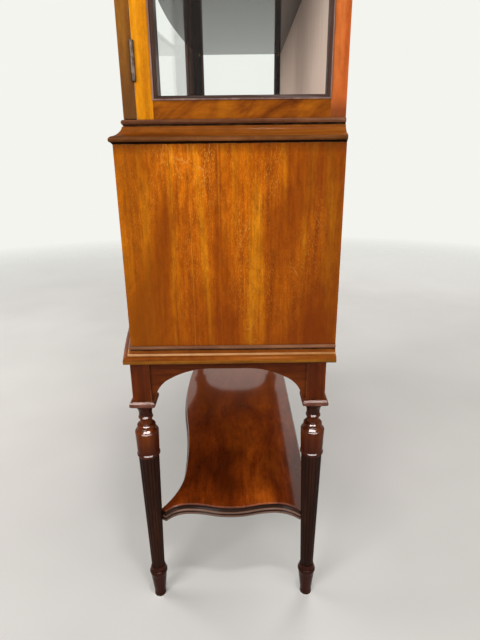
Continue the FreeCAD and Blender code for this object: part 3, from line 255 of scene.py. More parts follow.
def seam_line(look, y, width, amount, mottle, stained):
    """How far a fine wavering line up the piece at y shows."""
    waver = look.math("MULTIPLY_ADD", mottle, SEAM_WAVER, look.level(Y))
    gap = look.math("ABSOLUTE", look.math("SUBTRACT", waver, y + SEAM_WAVER / 2))
    line = look.grey(gap, low=amount, high=0.0, start=0.0, stop=width)
    return look.math("MULTIPLY", line, look.grey(stained, low=1.0, high=0.1, start=0.42, stop=0.60))


def rubbed_edges(look, wear, mottle):
    """How far the edges are rubbed, in patches."""
    edges = look.grey(look.arrises(WEAR_REACH), low=0.0, high=wear, start=0.02, stop=0.2)
    return look.math("MULTIPLY", edges, look.grey(mottle, low=0.0, high=1.0, start=0.4, stop=0.6))


def scratch_lines(look, axis, shift, amount, stained):
    """How far a few fine scratches show."""
    cells = look.add("ShaderNodeTexVoronoi", feature="DISTANCE_TO_EDGE")
    cells.inputs["Scale"].default_value = 1.0
    look.link(look.mapped(along(axis, *SCRATCH_GRAIN), shift), cells.inputs["Vector"])
    lines = look.grey(cells.outputs["Distance"], low=amount, high=0.0, start=0.0, stop=SCRATCH_WIDTH)
    return look.math("MULTIPLY", lines, look.grey(stained, low=1.0, high=0.0, start=0.40, stop=0.46))


def wood(name, axis, tones, figure=(1.8, 26), slant=0.0, twist=0.8, streaks=0.5, clouds=0.6, flecks=0.3,
         fleck=None, stain=None, stains=0.35, rough=(0.24, 0.42), coat=0.06, shine=0.04, relief=0.08,
         hollow_shade=0.5, fades=(), seams=(), wear=0.0, worn="c88a4a", scratches=0.0):
    """Polished wood: bands of figure, streaks along the grain, stains, flecks, and painted shade in the
    hollows.

    axis is the way the grain runs. figure is the bands' repeats a metre, along the grain and across it.
    tones are the dark, middle and light colours of the figure, which leans by slant across the piece's end.
    fades are (axis, from, to, amount, colour): the tone slides to that colour between two levels.
    seams are (y, width, amount, colour): fine lines that run up the piece at y.
    wear is how far the edges are rubbed to the worn colour, which a few fine scratches also show.
    """
    look = Look(name)
    shift = grain_shift(name)
    bands = look.noise(look.mapped(along(axis, *figure), shift, slant), detail=4, twist=twist)
    fibre = look.noise(look.mapped(along(axis, *FIBRE_GRAIN), shift), detail=5, rough=0.62)
    pores = look.noise(look.mapped(along(axis, *PORE_GRAIN), shift), detail=4, rough=0.6)
    mottle = look.noise(look.mapped(along(axis, *MOTTLE_GRAIN), shift), detail=4, rough=0.65)
    stained = look.noise(look.mapped(along(axis, *STAIN_GRAIN), shift), detail=3, twist=0.4)
    dark = srgb(stain or tones[0])
    body = look.ramp(bands, [(place, srgb(tone)) for place, tone in zip(FIGURE_STOPS, tones)])
    body = look.mix(streaks, body, look.ramp(fibre, FIBRE_TINTS), "MULTIPLY")
    body = look.mix(clouds, body, look.ramp(mottle, MOTTLE_TINTS), "MULTIPLY")
    body = look.mix(look.grey(stained, low=0.0, high=stains, start=0.44, stop=0.66), body, dark)
    body = look.mix(look.grey(pores, low=PORE_SHARE * flecks, high=0.0, start=0.30, stop=0.42), body, dark)
    clusters = look.grey(stained, low=1.0, high=0.1, start=0.40, stop=0.58)
    specks = look.math("MULTIPLY", look.grey(pores, low=0.0, high=flecks, start=0.55, stop=0.66), clusters)
    body = look.mix(specks, body, srgb(fleck or tones[-1]))
    for level, first, last, amount, colour in fades:
        share = look.grey(look.level(level), low=0.0, high=amount, start=first, stop=last)
        body = look.mix(share, body, srgb(colour))
    for y, width, amount, colour in seams:
        body = look.mix(seam_line(look, y, width, amount, mottle, stained), body, srgb(colour))
    # Painted shade: darker deep in corners and hollows, by how closed in the surface is
    hollow_shade_share = look.grey(look.hollows(HOLLOW_SHADE_REACH), low=hollow_shade, high=0.0, start=0.25, stop=0.85)
    body = look.mix(hollow_shade_share, body, srgb(HOLLOW_SHADE))
    if wear:
        body = look.mix(rubbed_edges(look, wear, mottle), body, srgb(worn))
    if scratches:
        body = look.mix(scratch_lines(look, axis, shift, scratches, stained), body, srgb(worn))
    look.link(body, look.shader.inputs["Base Color"])
    look.link(look.grey(fibre, low=rough[1], high=rough[0]), look.shader.inputs["Roughness"])
    look.set(Coat_Weight=coat, Coat_Roughness=0.07, IOR=1.5, Specular_IOR_Level=shine)
    look.bump(fibre, strength=relief, distance=0.2 * MM)
    return look.material


def raw_wood(name, axis):
    """Plain unpolished boards of the back and the blocks under the stand."""
    look = Look(name)
    bands = look.noise(look.mapped(along(axis, length=0.9, across=30)), detail=5, rough=0.6, twist=0.9)
    fibre = look.noise(look.mapped(along(axis, length=9, across=330)), detail=4, rough=0.7)
    body = look.ramp(bands, [(0.3, srgb("7a4c22")), (0.52, srgb("94622e")), (0.72, srgb("aa7a40"))])
    fibres = look.ramp(fibre, [(0.3, (0.7, 0.68, 0.65, 1)), (0.65, (1.05, 1.05, 1.05, 1))])
    look.link(look.mix(0.8, body, fibres, "MULTIPLY"), look.shader.inputs["Base Color"])
    look.link(look.grey(fibre, low=0.62, high=0.82), look.shader.inputs["Roughness"])
    look.set(Specular_IOR_Level=0.15)
    look.bump(fibre, strength=0.3, distance=0.6 * MM)
    return look.material


def metal(name, dark, light, rough):
    """Worn metal with tarnish in patches and fine scratches."""
    look = Look(name)
    tarnish = look.noise(look.mapped(scale=(90, 90, 90)), detail=5, rough=0.6)
    scratch = look.noise(look.mapped(scale=(2400, 2400, 160)), detail=2)
    look.link(look.ramp(tarnish, [(0.35, srgb(dark)), (0.65, srgb(light))]), look.shader.inputs["Base Color"])
    look.link(look.grey(tarnish, low=rough[1], high=rough[0]), look.shader.inputs["Roughness"])
    look.set(Metallic=1.0)
    look.bump(scratch, strength=0.05, distance=0.2 * MM)
    return look.material


def cloth(name):
    """Plain woven cloth on the back of the glazed top, with slubs along its upright threads."""
    look = Look(name)
    warp = look.add("ShaderNodeTexWave", wave_type="BANDS", bands_direction="X")
    weft = look.add("ShaderNodeTexWave", wave_type="BANDS", bands_direction="Z")
    for wave in (warp, weft):
        wave.inputs["Scale"].default_value = 1.0
        wave.inputs["Distortion"].default_value = 1.2
        wave.inputs["Detail"].default_value = 2.0
        look.link(look.mapped(scale=(190, 190, 190)), wave.inputs["Vector"])
    slub = look.noise(look.mapped(scale=(55, 55, 9)), detail=4)
    weave = look.mix(0.5, warp.outputs["Color"], weft.outputs["Color"])
    body = look.ramp(slub, [(0.3, srgb("e0c2ae")), (0.7, srgb("ecd0be"))])
    threads = look.ramp(weave, [(0.2, (0.92, 0.91, 0.91, 1)), (0.8, (1.03, 1.03, 1.03, 1))])
    look.link(look.mix(0.25, body, threads, "MULTIPLY"), look.shader.inputs["Base Color"])
    look.set(Roughness=0.9, Sheen_Weight=0.25)
    look.bump(weave, strength=0.25, distance=0.4 * MM)
    return look.material


# Tint of the panes, how much they mirror face on and edge on, and how steeply that grows
GLASS_TINT = (0.985, 0.995, 0.99, 1)
MIRROR_FACING = 0.01
MIRROR_EDGE = 0.6
MIRROR_POWER = 5.0


def glass(name):
    """Clear sheet glass: see-through, with its reflections by angle and a faint ripple."""
    look = Look(name)
    look.tree.nodes.remove(look.shader)
    clear = look.add("ShaderNodeBsdfTransparent")
    clear.inputs["Color"].default_value = GLASS_TINT
    gloss = look.add("ShaderNodeBsdfGlossy")
    gloss.inputs["Color"].default_value = (1, 1, 1, 1)
    ripple = look.noise(look.mapped(scale=(9, 9, 5)), detail=3)
    look.link(look.grey(ripple, low=0.01, high=0.05), gloss.inputs["Roughness"])
    weight = look.add("ShaderNodeLayerWeight")
    weight.inputs["Blend"].default_value = 0.5
    edge = look.math("POWER", weight.outputs["Facing"], MIRROR_POWER)
    both = look.add("ShaderNodeMixShader")
    look.link(look.math("MULTIPLY_ADD", edge, MIRROR_EDGE, MIRROR_FACING), both.inputs[0])
    look.link(clear.outputs[0], both.inputs[1])
    look.link(gloss.outputs[0], both.inputs[2])
    look.link(both.outputs[0], look.tree.nodes["Material Output"].inputs["Surface"])
    return look.material


# Woods of the case: its ends are darker to the foot and the back as painted shade, browner to the front, with
# a painted shadow under the waist moulding, and with a dark joint and two pale lines in the veneer
CASE_FADES = (
    # Painted shade: darker towards the foot
    (Z, PANEL_HEAD - 29 * MM, PANEL_FOOT + 21.5 * MM, 0.55, "7a3202"),
    # Painted shade: darker towards the back
    (Y, PANEL_BACK - 178 * MM, PANEL_BACK - 18 * MM, 0.55, "6a2a06"),
    (Y, PANEL_FRONT + 115 * MM, PANEL_FRONT - 15 * MM, 0.45, "8c5204"),
    # Painted shadow under the waist moulding
    (Z, PANEL_HEAD - 17 * MM, PANEL_HEAD - 1 * MM, 0.5, "5a2a06"),
)
CASE_SEAMS = (
    (-60.3 * MM, 1.4 * MM, 0.6, "4a1e06"),
    (-28.0 * MM, 1.2 * MM, 0.45, "e0962a"),
    (22.7 * MM, 1.6 * MM, 0.45, "e0962a"),
)
case_wood = wood(
    "case_veneer", Z, ("a04c06", "d87206", "f09a12"), figure=(1.6, 26), streaks=0.75, clouds=1.0,
    flecks=0.75, fleck="f0ae40", stain="742c02", stains=0.65, wear=0.35, worn="e4a450", scratches=0.32,
    fades=CASE_FADES, seams=CASE_SEAMS)
case_wood_x = wood("case_veneer_level", X, ("7a3808", "a0520c", "bf7214"), figure=(1.3, 24), flecks=0.5)

# Woods of the doors: their edges, which are browner to the foot, their fronts and their backs
DOOR_FADES = ((Z, VITRINE_FOOT + 181.5 * MM, VITRINE_FOOT + 11.5 * MM, 0.5, "5a4028"),)
DOOR_FACE_TONES = ("7c3e0a", "a65e12", "c4801e")
DOOR_BACK_TONES = ("563012", "764820", "906438")
door_wood_z = wood("door_upright", Z, ("6a3c10", "915a1c", "ae7628"), fades=DOOR_FADES)
door_face_z = wood("door_front_upright", Z, DOOR_FACE_TONES, figure=(1.5, 34), flecks=0.4)
door_face_x = wood("door_front_level", X, DOOR_FACE_TONES, figure=(1.5, 34), flecks=0.4)
door_back_z = wood("door_back_upright", Z, DOOR_BACK_TONES, flecks=0.15)
door_back_x = wood("door_back_level", X, DOOR_BACK_TONES, flecks=0.15)

# Woods of the end frames, whose back stile is dark at its foot, and whose inside faces are painted near black
# as shade
STILE_FADES = ((Z, VITRINE_FOOT + 33.5 * MM, VITRINE_FOOT + 11.5 * MM, 0.6, "4a2418"),)
# Inside faces: painted shade, near black
inside_shade_wood = wood("inside_faces", Z, ("150b07", "22130d", "33211a"), flecks=0.1, coat=0.02, shine=0.02)
# The front stile's brighter gold is partly the wood's own tone and partly painted light
stile_gold = wood(
    "end_stile_front", Z, ("c47408", "ea960e", "f8b22c"), figure=(1.4, 40), streaks=0.4, flecks=0.3)
stile_red = wood(
    "end_stile_back", Z, ("b05220", "d46c30", "e08444"), figure=(1.4, 30), streaks=0.35, flecks=0.15,
    fades=STILE_FADES)
rail_orange = wood(
    "end_rail", Y, ("642c06", "98500c", "b0640f"), figure=(9, 34), slant=0.6, twist=1.2, streaks=0.2,
    flecks=0.15)

# Woods of the mouldings, with the grain along X and then along Y
# The near-black tone is painted shade, and the pale tone a painted highlight
TONES = {
    "black": ("120703", "1e0e08", "30160c"),
    "brown": ("562806", "7c4010", "9a581c"),
    "gold": ("5a340c", "824e18", "aa7020"),
    "amber": ("662e08", "8e4a12", "ae6622"),
    "pale": ("cc9058", "f0b278", "ffd2a4"),
    "bead": ("523020", "764a32", "9a6e54"),
    "nose": ("44240e", "603616", "82502c"),
}
mouldings = [
    wood("moulding_%s_%s" % (tone, "xy"[axis]), axis, colours, hollow_shade=0.7, coat=0.04, shine=0.03, wear=0.5)
    for axis in (X, Y) for tone, colours in TONES.items()]

# Tones of each moulding, from its foot up, with the share of its height at which each of them ends; the
# darkest bands are painted shade in the grooves and under the faces that overhang, and the base's pale fillet
# is a painted highlight
BASE_TONES = (
    (0.02, "black"), (0.23, "gold"), (0.42, "amber"), (0.55, "pale"), (0.72, "amber"), (0.79, "black"),
    (1.1, "bead"))
WAIST_TONES = ((0.10, "black"), (0.31, "nose"), (0.735, "brown"), (0.80, "black"), (1.1, "bead"))
CORNICE_TONES = ((0.1, "bead"), (0.6, "brown"), (0.8, "gold"), (1.1, "brown"))

# Woods of the glazing beads, whose outer arris is painted paler as a highlight
BEAD_TONES = ("38231d", "563b33", "745a50")
bead_z = wood("glazing_bead_upright", Z, BEAD_TONES, flecks=0.1, coat=0.3)
bead_x = wood("glazing_bead_level", X, BEAD_TONES, flecks=0.1, coat=0.3)
bead_y = wood("glazing_bead_end_level", Y, BEAD_TONES, flecks=0.1, coat=0.3)
bead_arris_highlight = wood("glazing_bead_arris", Z, ("6a4c42", "8a6c62", "a88a80"), flecks=0.1, coat=0.3)

# Woods of the stand: its turnings are darker at the vase's foot and just under the collar as painted shade,
# and darker down to the feet
TURNED_FADES = (
    # Painted shade: darker towards the vase's foot
    (Z, REEDS[1] + 52 * MM, REEDS[1] + 12 * MM, 0.7, "340c02"),
    (Z, REEDS[1] + 16 * MM, REEDS[0] - 6 * MM, 0.5, "220a04"),
    # Painted shade under the collar's overhang
    (Z, COLLAR[0] - 30 * MM, COLLAR[0] - 22 * MM, 0.8, "220c06"),
)
turned_wood = wood(
    "stand_turning", Z, ("3a1402", "5a2406", "783a0c"), flecks=0.05, rough=(0.16, 0.26), coat=0.2,
    shine=0.02, relief=0.03, fades=TURNED_FADES)
stand_z = wood(
    "stand_upright", Z, ("3e1704", "5e270a", "78370f"), flecks=0.1, coat=0.02, shine=0.01, wear=0.6)
stand_x = wood("stand_level", X, ("441a06", "622a0a", "7c3a0e"), flecks=0.1, wear=0.4)
stand_y = wood("stand_end_level", Y, ("3c1606", "5a260a", "74360e"), flecks=0.1, wear=0.4)
# The reeds carry strong painted shade in the hollows between them
reed_wood = wood(
    "stand_reeds", Z, ("1a0b04", "2a130a", "3c1f12"), flecks=0.05, coat=0.1, shine=0.02, hollow_shade=0.85)
# Collars are painted paler and pinkish-grey as a sheen
collar_sheen_wood = wood("stand_collars", X, ("5a3428", "744a3c", "8e6254"), flecks=0.05, coat=0.05, shine=0.01)

# Woods of the undertier, which turns darker and then warmer away from its right end, and of the shelves
TIER_FADES = (
    (X, 500 * MM, 300 * MM, 0.35, "4a1804"),
    (X, 220 * MM, 20 * MM, 0.45, "8a400c"),
)
tier_wood = wood(
    "undertier_top", X, ("5c2004", "82360a", "a44e10"), figure=(5, 16), streaks=0.45, clouds=0.9,
    flecks=0.35, fleck="c06a24", stain="340f04", stains=0.75, rough=(0.22, 0.26), coat=0.9, relief=0.01,
    wear=0.5, fades=TIER_FADES)
# The undertier's hollows and underside are painted dark as shade, and its beads pale as a painted highlight
tier_hollow_shade = wood("undertier_hollows", Y, ("1c0f0b", "2c1a13", "402a22"), flecks=0.1)
tier_bead_highlight = wood("undertier_beads", Y, ("5a4034", "7a5c4e", "98786a"), flecks=0.1, coat=0.3)
shelf_wood = wood(
    "shelf_wood", X, ("1a0f0c", "2a1b17", "3c2b27"), rough=(0.04, 0.08), coat=0.3, shine=0.12,
    relief=0.004, flecks=0.1)

# Boards of the back, metals, cloth and glass
back_wood = raw_wood("back_boards", X)
hinge_metal = metal("hinge_metal", "443a32", "7e7067", (0.35, 0.55))
brass = metal("brass", "8a6428", "c99c4e", (0.22, 0.42))
steel = metal("key_steel", "4a4744", "8c8880", (0.28, 0.45))
lining = cloth("lining_cloth")
pane = glass("pane")

# Part of a normal along Y below which a door's face is an edge, and above which an end's face looks back
EDGE_FACING = 0.5
BACK_FACING = 0.9


def moulding_part(low, high, steps):
    """Chooser of a moulding's tone by share of its height, for its front part or its end parts."""
    def choose(centre, normal):
        share = (centre.z - low[Z]) / (high[Z] - low[Z])
        tone = next(tone for top, tone in steps if share <= top)
        in_end = abs(centre.x) > high[X] - MOULDING_END and centre.y > MITRE_Y
        on_end = abs(normal.x) > abs(normal.y) or in_end
        return list(TONES).index(tone) + (len(TONES) if on_end else 0)
    return choose


def bead_part(low, high, arris=math.inf):
    """Chooser for glazing beads: upright ones, level ones, and what lies further out than the arris, which
    has a painted highlight.
    """
    def choose(centre, normal):
        if abs(centre.x) > arris:
            return 2
        return int(centre.z < low[Z] + BEAD_W or centre.z > high[Z] - BEAD_W)
    return choose


def door_part(opening):
    """Chooser for a door's frame: its edges, stiles and rails in front, and stiles and rails behind."""
    def choose(centre, normal):
        if abs(normal.y) < EDGE_FACING:
            return 0
        rail = int(opening[0][X] < centre.x < opening[1][X])
        return rail + (3 if normal.y > 0 else 1)
    return choose


def end_frame_part(centre, normal):
    """Material of an end frame's face: front stile, rail or face that looks back, back stile, or inside,
    painted near black as shade.
    """
    if normal.x * centre.x < 0:
        return 3
    if normal.y > BACK_FACING:
        return 1
    if centre.y < END_OPENING[0][Y]:
        return 0
    return 1 if centre.y < END_OPENING[1][Y] else 2


def leg_part(centre, normal):
    """Material of a leg's face by its height: square block, reeds, collar painted pale as a sheen, or
    turning.
    """
    if REEDS[0] < centre.z < REEDS[1]:
        return 1
    if COLLAR[0] < centre.z < COLLAR[1]:
        return 2
    return 3 if centre.z < COLLAR[0] else 0


def tier_part(centre, normal):
    """Material of the undertier's face: its top and arris, the hollows and underside painted dark as shade,
    or the two beads of its edge painted pale as a highlight.
    """
    rise = centre.z - TIER_FOOT
    if rise > TIER_ARRIS:
        return 0
    return 2 if any(low < rise < high for low, high in TIER_BEADS) else 1


# Materials of the nodes that are named in full
FINISHES = {
    "apron_front": ([stand_x], None),
    "apron_back": ([stand_x], None),
    "case_back": ([back_wood], None),
    "vitrine_back": ([back_wood], None),
    "stand_corner_blocks": ([back_wood], None),
    "case_side_right": ([case_wood], None),
    "case_side_left": ([case_wood], None),
    "back_lining_board": ([lining], None),
    "undertier": ([tier_wood, tier_hollow_shade, tier_bead_highlight], tier_part),
    "base_moulding": (mouldings, moulding_part(*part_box("base_moulding"), BASE_TONES)),
    "waist_moulding": (mouldings, moulding_part(*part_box("waist_moulding"), WAIST_TONES)),
    "cornice": (mouldings, moulding_part(*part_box("cornice"), CORNICE_TONES)),
}


def finish_of(name):
    """Materials of a CAD node, and what chooses one of them for each face."""
    if name in FINISHES:
        return FINISHES[name]
    if "glass" in name:
        return [pane], None
    if "hinge" in name:
        return [hinge_metal], None
    if "slip_bolt" in name or "escutcheon" in name or "studs" in name:
        return [brass], None
    if "lock" in name or "key" in name:
        return [steel], None
    if name.startswith("leg"):
        return [stand_z, reed_wood, collar_sheen_wood, turned_wood], leg_part
    if name.startswith("apron"):
        return [stand_y], None
    if name.startswith("shelf"):
        return [shelf_wood], None
    if name.startswith("end_frame"):
        return [stile_gold, rail_orange, stile_red, inside_shade_wood], end_frame_part
    if name.startswith("end_beads"):
        low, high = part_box(name)
        arris = max(abs(low[X]), abs(high[X])) - BEAD_ARRIS
        return [bead_z, bead_y, bead_arris_highlight], bead_part(low, high, arris)
    if name.startswith("glazed_door") and name.endswith("beads"):
        return [bead_z, bead_x], bead_part(*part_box(name))
    if name.endswith("frame"):
        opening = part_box(name.replace("frame", "glass" if name.startswith("glazed") else "panel"))
        return [door_wood_z, door_face_z, door_face_x, door_back_z, door_back_x], door_part(opening)
    return [case_wood_x], None


def paint(name, materials, choose):
    """Give a CAD node its materials. choose picks one by each face's middle and normal."""
    mesh = NODES[name].data
    mesh.materials.clear()
    for material in materials:
        mesh.materials.append(material)
    for face in mesh.polygons:
        face.material_index = choose(face.center, face.normal) if choose else 0


for name in NODES:
    paint(name, *finish_of(name))


# Degrees above which an edge stays sharp, on most pieces and on the legs, and the gap that is welded
SHARP_ANGLE = 26
SHARP_TURNED_ANGLE = 36
WELD_GAP = 0.01 * MM


def smooth_group(degrees):
    """Geometry nodes that weld a CAD mesh and shade it smooth, but for edges sharper than an angle."""
    group = bpy.data.node_groups.new("smooth_%d" % degrees, "GeometryNodeTree")
    group.interface.new_socket("Geometry", in_out="INPUT", socket_type="NodeSocketGeometry")
    group.interface.new_socket("Geometry", in_out="OUTPUT", socket_type="NodeSocketGeometry")
    nodes = group.nodes
    start = nodes.new("NodeGroupInput")
    stop = nodes.new("NodeGroupOutput")
    weld = nodes.new("GeometryNodeMergeByDistance")
    weld.inputs["Distance"].default_value = WELD_GAP
    faces = nodes.new("GeometryNodeSetShadeSmooth")
    faces.domain = "FACE"
    edges = nodes.new("GeometryNodeSetShadeSmooth")
    edges.domain = "EDGE"
    edges.inputs["Shade Smooth"].default_value = False
    turn = nodes.new("GeometryNodeInputMeshEdgeAngle")
    sharp = nodes.new("FunctionNodeCompare")
    sharp.data_type = "FLOAT"
    sharp.operation = "GREATER_THAN"
    sharp.inputs["B"].default_value = math.radians(degrees)
    for source, target in (
            (start.outputs[0], weld.inputs["Geometry"]),
            (weld.outputs[0], faces.inputs["Geometry"]),
            (faces.outputs[0], edges.inputs["Geometry"]),
            (turn.outputs["Unsigned Angle"], sharp.inputs["A"]),
            (sharp.outputs[0], edges.inputs["Selection"]),
            (edges.outputs[0], stop.inputs[0])):
        group.links.new(source, target)
    return group


smooth = smooth_group(SHARP_ANGLE)
smooth_turnings = smooth_group(SHARP_TURNED_ANGLE)
for name in NODES:
    modifier = NODES[name].modifiers.new("smooth", "NODES")
    modifier.node_group = smooth_turnings if name.startswith("leg") else smooth


# Screw heads: radius, and radius on a slip bolt's knob, height, half the slot's width, and steps round a half
SCREW_R = 2.2 * MM
KNOB_SCREW_R = 1.8 * MM
SCREW_RISE = 0.1 * MM
SCREW_SLOT = 0.3 * MM
SCREW_STEPS = 10
# Shares of the radius and of the height at the rings of a head, from its foot to its top
SCREW_PROFILE = ((1.0, 0.0), (1.0, 0.6), (0.85, 1.0))

# Butt hinges: length, pin, middle of a leaf from the pin, half the gap between leaves, places of the screws
HINGE_L = 60 * MM
HINGE_PIN_R = 1.5 * MM
HINGE_LEAF_MID = 11 * MM
HINGE_LEAF_GAP = 0.15 * MM
HINGE_SCREWS = (1 / 6, 1 / 2, 5 / 6)
# Turn of the leaves and straps, which follow the bow's end
HINGE_SLOPE = math.radians(9.93)
# Screws of the pivots' straps from their middle, and of the locks' plates from their edges
STRAP_SCREWS = (0, 14 * MM)
LOCK_SCREW_INSET = 4.5 * MM

# Turns of the slots in radians: of the first screw in a row, and from each screw to the next
SLOT_TURNS = {
    "fixed_leaf": (0.7, 2.1),
    "moving_leaf": (1.9, 1.3),
    "case_floor": (0.5, 1.0),
    "case_top": (1.4, 1.0),
    "door_foot": (2.2, 1.0),
    "door_head": (0.9, 1.0),
    "lock_foot": (0.4, 1.1),
    "lock_head": (1.2, 1.1),
    "knob": (0.6, 0.0),
}


def slot_turn(row, i=0):
    """Turn of the slot of one screw in a row."""
    first, step = SLOT_TURNS[row]
    return first + step * i


def screw_half(bm, at, normal, slot, side, radius):
    """One side of a slotted screw head: a low half disc with a rounded rim."""
    across = normal.cross(slot) * side
    start = math.asin(SCREW_SLOT / radius)
    rings = []
    for shrink, rise in SCREW_PROFILE:
        ring = []
        for i in range(SCREW_STEPS + 1):
            turn = start + (math.pi - 2 * start) * i / SCREW_STEPS
            out = SCREW_SLOT + (radius * math.sin(turn) - SCREW_SLOT) * shrink
            place = at + slot * radius * shrink * math.cos(turn) + across * out + normal * SCREW_RISE * rise
            ring.append(bm.verts.new(place))
        rings.append(ring)
    bm.faces.new(rings[0])
    bm.faces.new(rings[-1])
    for low, high in zip(rings, rings[1:]):
        for i in range(len(low)):
            bm.faces.new((low[i - 1], low[i], high[i], high[i - 1]))


def screws(body, material, heads, radius=SCREW_R):
    """Slotted screw heads on one body, each given by its place, its normal and how far its slot is turned."""
    bm = bmesh.new()
    for at, normal, turn in heads:
        side = normal.orthogonal().normalized()
        line = Matrix.Rotation(turn, 3, normal) @ side
        for half in (-1, 1):
            screw_half(bm, at, normal, line, half, radius)
    bmesh.ops.recalc_face_normals(bm, faces=bm.faces)
    mesh = bpy.data.meshes.new("screws_" + body)
    bm.to_mesh(mesh)
    bm.free()
    mesh.materials.append(material)
    piece = bpy.data.objects.new("screws_" + body, mesh)
    bpy.context.scene.collection.objects.link(piece)
    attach(piece, body)


def hinge_screws(side):
    """Screws of one side's glazed door hinges: those in the fixed leaves and those in the moving ones."""
    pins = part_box("hinge_pins")
    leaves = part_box("glazed_hinge_leaves_right")
    axis = Vector((side * (pins[1][X] - HINGE_PIN_R), (pins[0][Y] + pins[1][Y]) / 2, 0))
    inward = Vector((-side * math.cos(HINGE_SLOPE), -math.sin(HINGE_SLOPE), 0))
    fixed_side = Vector((-side * math.sin(HINGE_SLOPE), math.cos(HINGE_SLOPE), 0))
    fixed, moving = [], []
    for foot in (leaves[0][Z], leaves[1][Z] - HINGE_L):
        for i, share in enumerate(HINGE_SCREWS):
            at = axis + inward * HINGE_LEAF_MID + Vector((0, 0, foot + HINGE_L * share))
            fixed.append((at + fixed_side * HINGE_LEAF_GAP, -fixed_side, slot_turn("fixed_leaf", i)))
            moving.append((at - fixed_side * HINGE_LEAF_GAP, fixed_side, slot_turn("moving_leaf", i)))
    return fixed, moving


def strap_screws(side):
    """Screws of one side's cupboard door pivots: those in the case's straps and those in the door's."""
    low, high = (Vector(corner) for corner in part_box("cupboard_hinge_leaves_right"))
    middle = (low + high) / 2
    up = Vector((0, 0, 1))
    fixed, moving = [], []
    for i, step in enumerate(STRAP_SCREWS):
        x = side * (middle.x - math.cos(HINGE_SLOPE) * step)
        y = middle.y - math.sin(HINGE_SLOPE) * step
        fixed.append((Vector((x, y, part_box("case_floor")[1][Z])), up, slot_turn("case_floor", i)))
        fixed.append((Vector((x, y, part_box("case_top")[0][Z])), -up, slot_turn("case_top", i)))
        moving.append((Vector((x, y, low.z)), -up, slot_turn("door_foot", i)))
        moving.append((Vector((x, y, high.z)), up, slot_turn("door_head", i)))
    return fixed, moving


def lock_screws(lock):
    """Screws at the corners of a lock's back plate."""
    low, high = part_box(lock)
    heads = []
    for i, x in enumerate((low[X] + LOCK_SCREW_INSET, high[X] - LOCK_SCREW_INSET)):
        for row, z in (("lock_foot", low[Z] + LOCK_SCREW_INSET), ("lock_head", high[Z] - LOCK_SCREW_INSET)):
            heads.append((Vector((x, high[Y], z)), Vector((0, 1, 0)), slot_turn(row, i)))
    return heads


def knob_screw(bolt):
    """Screw in the end of a slip bolt's knob."""
    low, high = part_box(bolt)
    at = Vector(((low[X] + high[X]) / 2, high[Y], (low[Z] + high[Z]) / 2))
    return [(at, Vector((0, 1, 0)), slot_turn("knob"))]


def make_screws():
    """All the screw heads, one piece for each body."""
    cabinet = []
    for side, hand in ((1, "right"), (-1, "left")):
        fixed, moving = hinge_screws(side)
        straps, pivots = strap_screws(side)
        cabinet += fixed + straps
        screws(hand + "_glazed_door", hinge_metal,
               moving + (lock_screws("glazed_lock") if side == 1 else []))
        screws(hand + "_cupboard_door", hinge_metal,
               pivots + (lock_screws("cupboard_lock") if side == 1 else []))
    screws("cabinet", hinge_metal, cabinet)
    for door in ("glazed", "cupboard"):
        for end in ("top", "bottom"):
            heads = knob_screw("%s_slip_bolt_%s" % (door, end))
            screws("%s_%s_slip_bolt" % (door, end), brass, heads, KNOB_SCREW_R)


# Distances from the middle between which the floor fades into the sky, and sides of its disc
FLOOR_FADE = (2.2, 5.0)
FLOOR_SIDES = 64

# Grey and strength of the sky that lights the part, and colour of the backdrop that is seen
SKY_GREY = 0.90
SKY_STRENGTH = 0.30
BACKDROP = "f4f4ef"

# Lamps: place, aim, and width and height, all in metres, and power in watts
LAMPS = {
    "overhead": ((1.35, 0.25, 3.1), (0.55, 0.05, 0.6), (0.22, 0.22), 16),
    "key": ((3.2, -1.9, 2.3), (0.5, 0.0, 0.8), (1.8, 1.8), 68),
    "fill": ((3.0, 2.6, 1.6), (0.4, 0.1, 0.8), (2.2, 2.2), 34),
    "front": ((-0.6, -3.6, 2.2), (0.0, 0.0, 1.0), (2.4, 2.4), 80),
    "rear": ((-3.0, 1.6, 2.8), (-0.4, 0.0, 1.0), (2.4, 2.4), 70),
    "card": ((1.9, 0.0, 2.5), (0.6, 0.0, 0.7), (2.4, 0.8), 560),
    "strip": ((2.9, 0.05, 0.72), (0.6, 0.0, 0.45), (4.0, 1.1), 700),
}
# Lamps that the legs alone see, as highlights on their turnings, and lamps that no surface mirrors
LEG_LAMPS = ("card", "strip")
UNSEEN_LAMPS = ("front", "rear")


def make_floor():
    """Pale floor that fades into the sky all round."""
    look = Look("floor")
    grain = look.noise(look.mapped(scale=(2, 2, 2)), detail=2)
    body = look.ramp(grain, [(0.3, srgb("d8d5d0")), (0.7, srgb("dfdcd7"))])
    look.link(body, look.shader.inputs["Base Color"])
    look.set(Roughness=0.7, Specular_IOR_Level=0.2)
    reach = look.add("ShaderNodeVectorMath", operation="LENGTH")
    look.link(look.place(), reach.inputs[0])
    clear = look.add("ShaderNodeBsdfTransparent")
    fade = look.add("ShaderNodeMixShader")
    near, far = FLOOR_FADE
    look.link(look.grey(reach.outputs["Value"], low=0.0, high=1.0, start=near, stop=far), fade.inputs[0])
    look.link(look.shader.outputs[0], fade.inputs[1])
    look.link(clear.outputs[0], fade.inputs[2])
    look.link(fade.outputs[0], look.tree.nodes["Material Output"].inputs["Surface"])
    mesh = bpy.data.meshes.new("floor")
    bm = bmesh.new()
    bmesh.ops.create_circle(bm, cap_ends=True, segments=FLOOR_SIDES, radius=far)
    bm.to_mesh(mesh)
    bm.free()
    mesh.materials.append(look.material)
    stage = bpy.data.objects.new("floor", mesh)
    bpy.context.scene.collection.objects.link(stage)


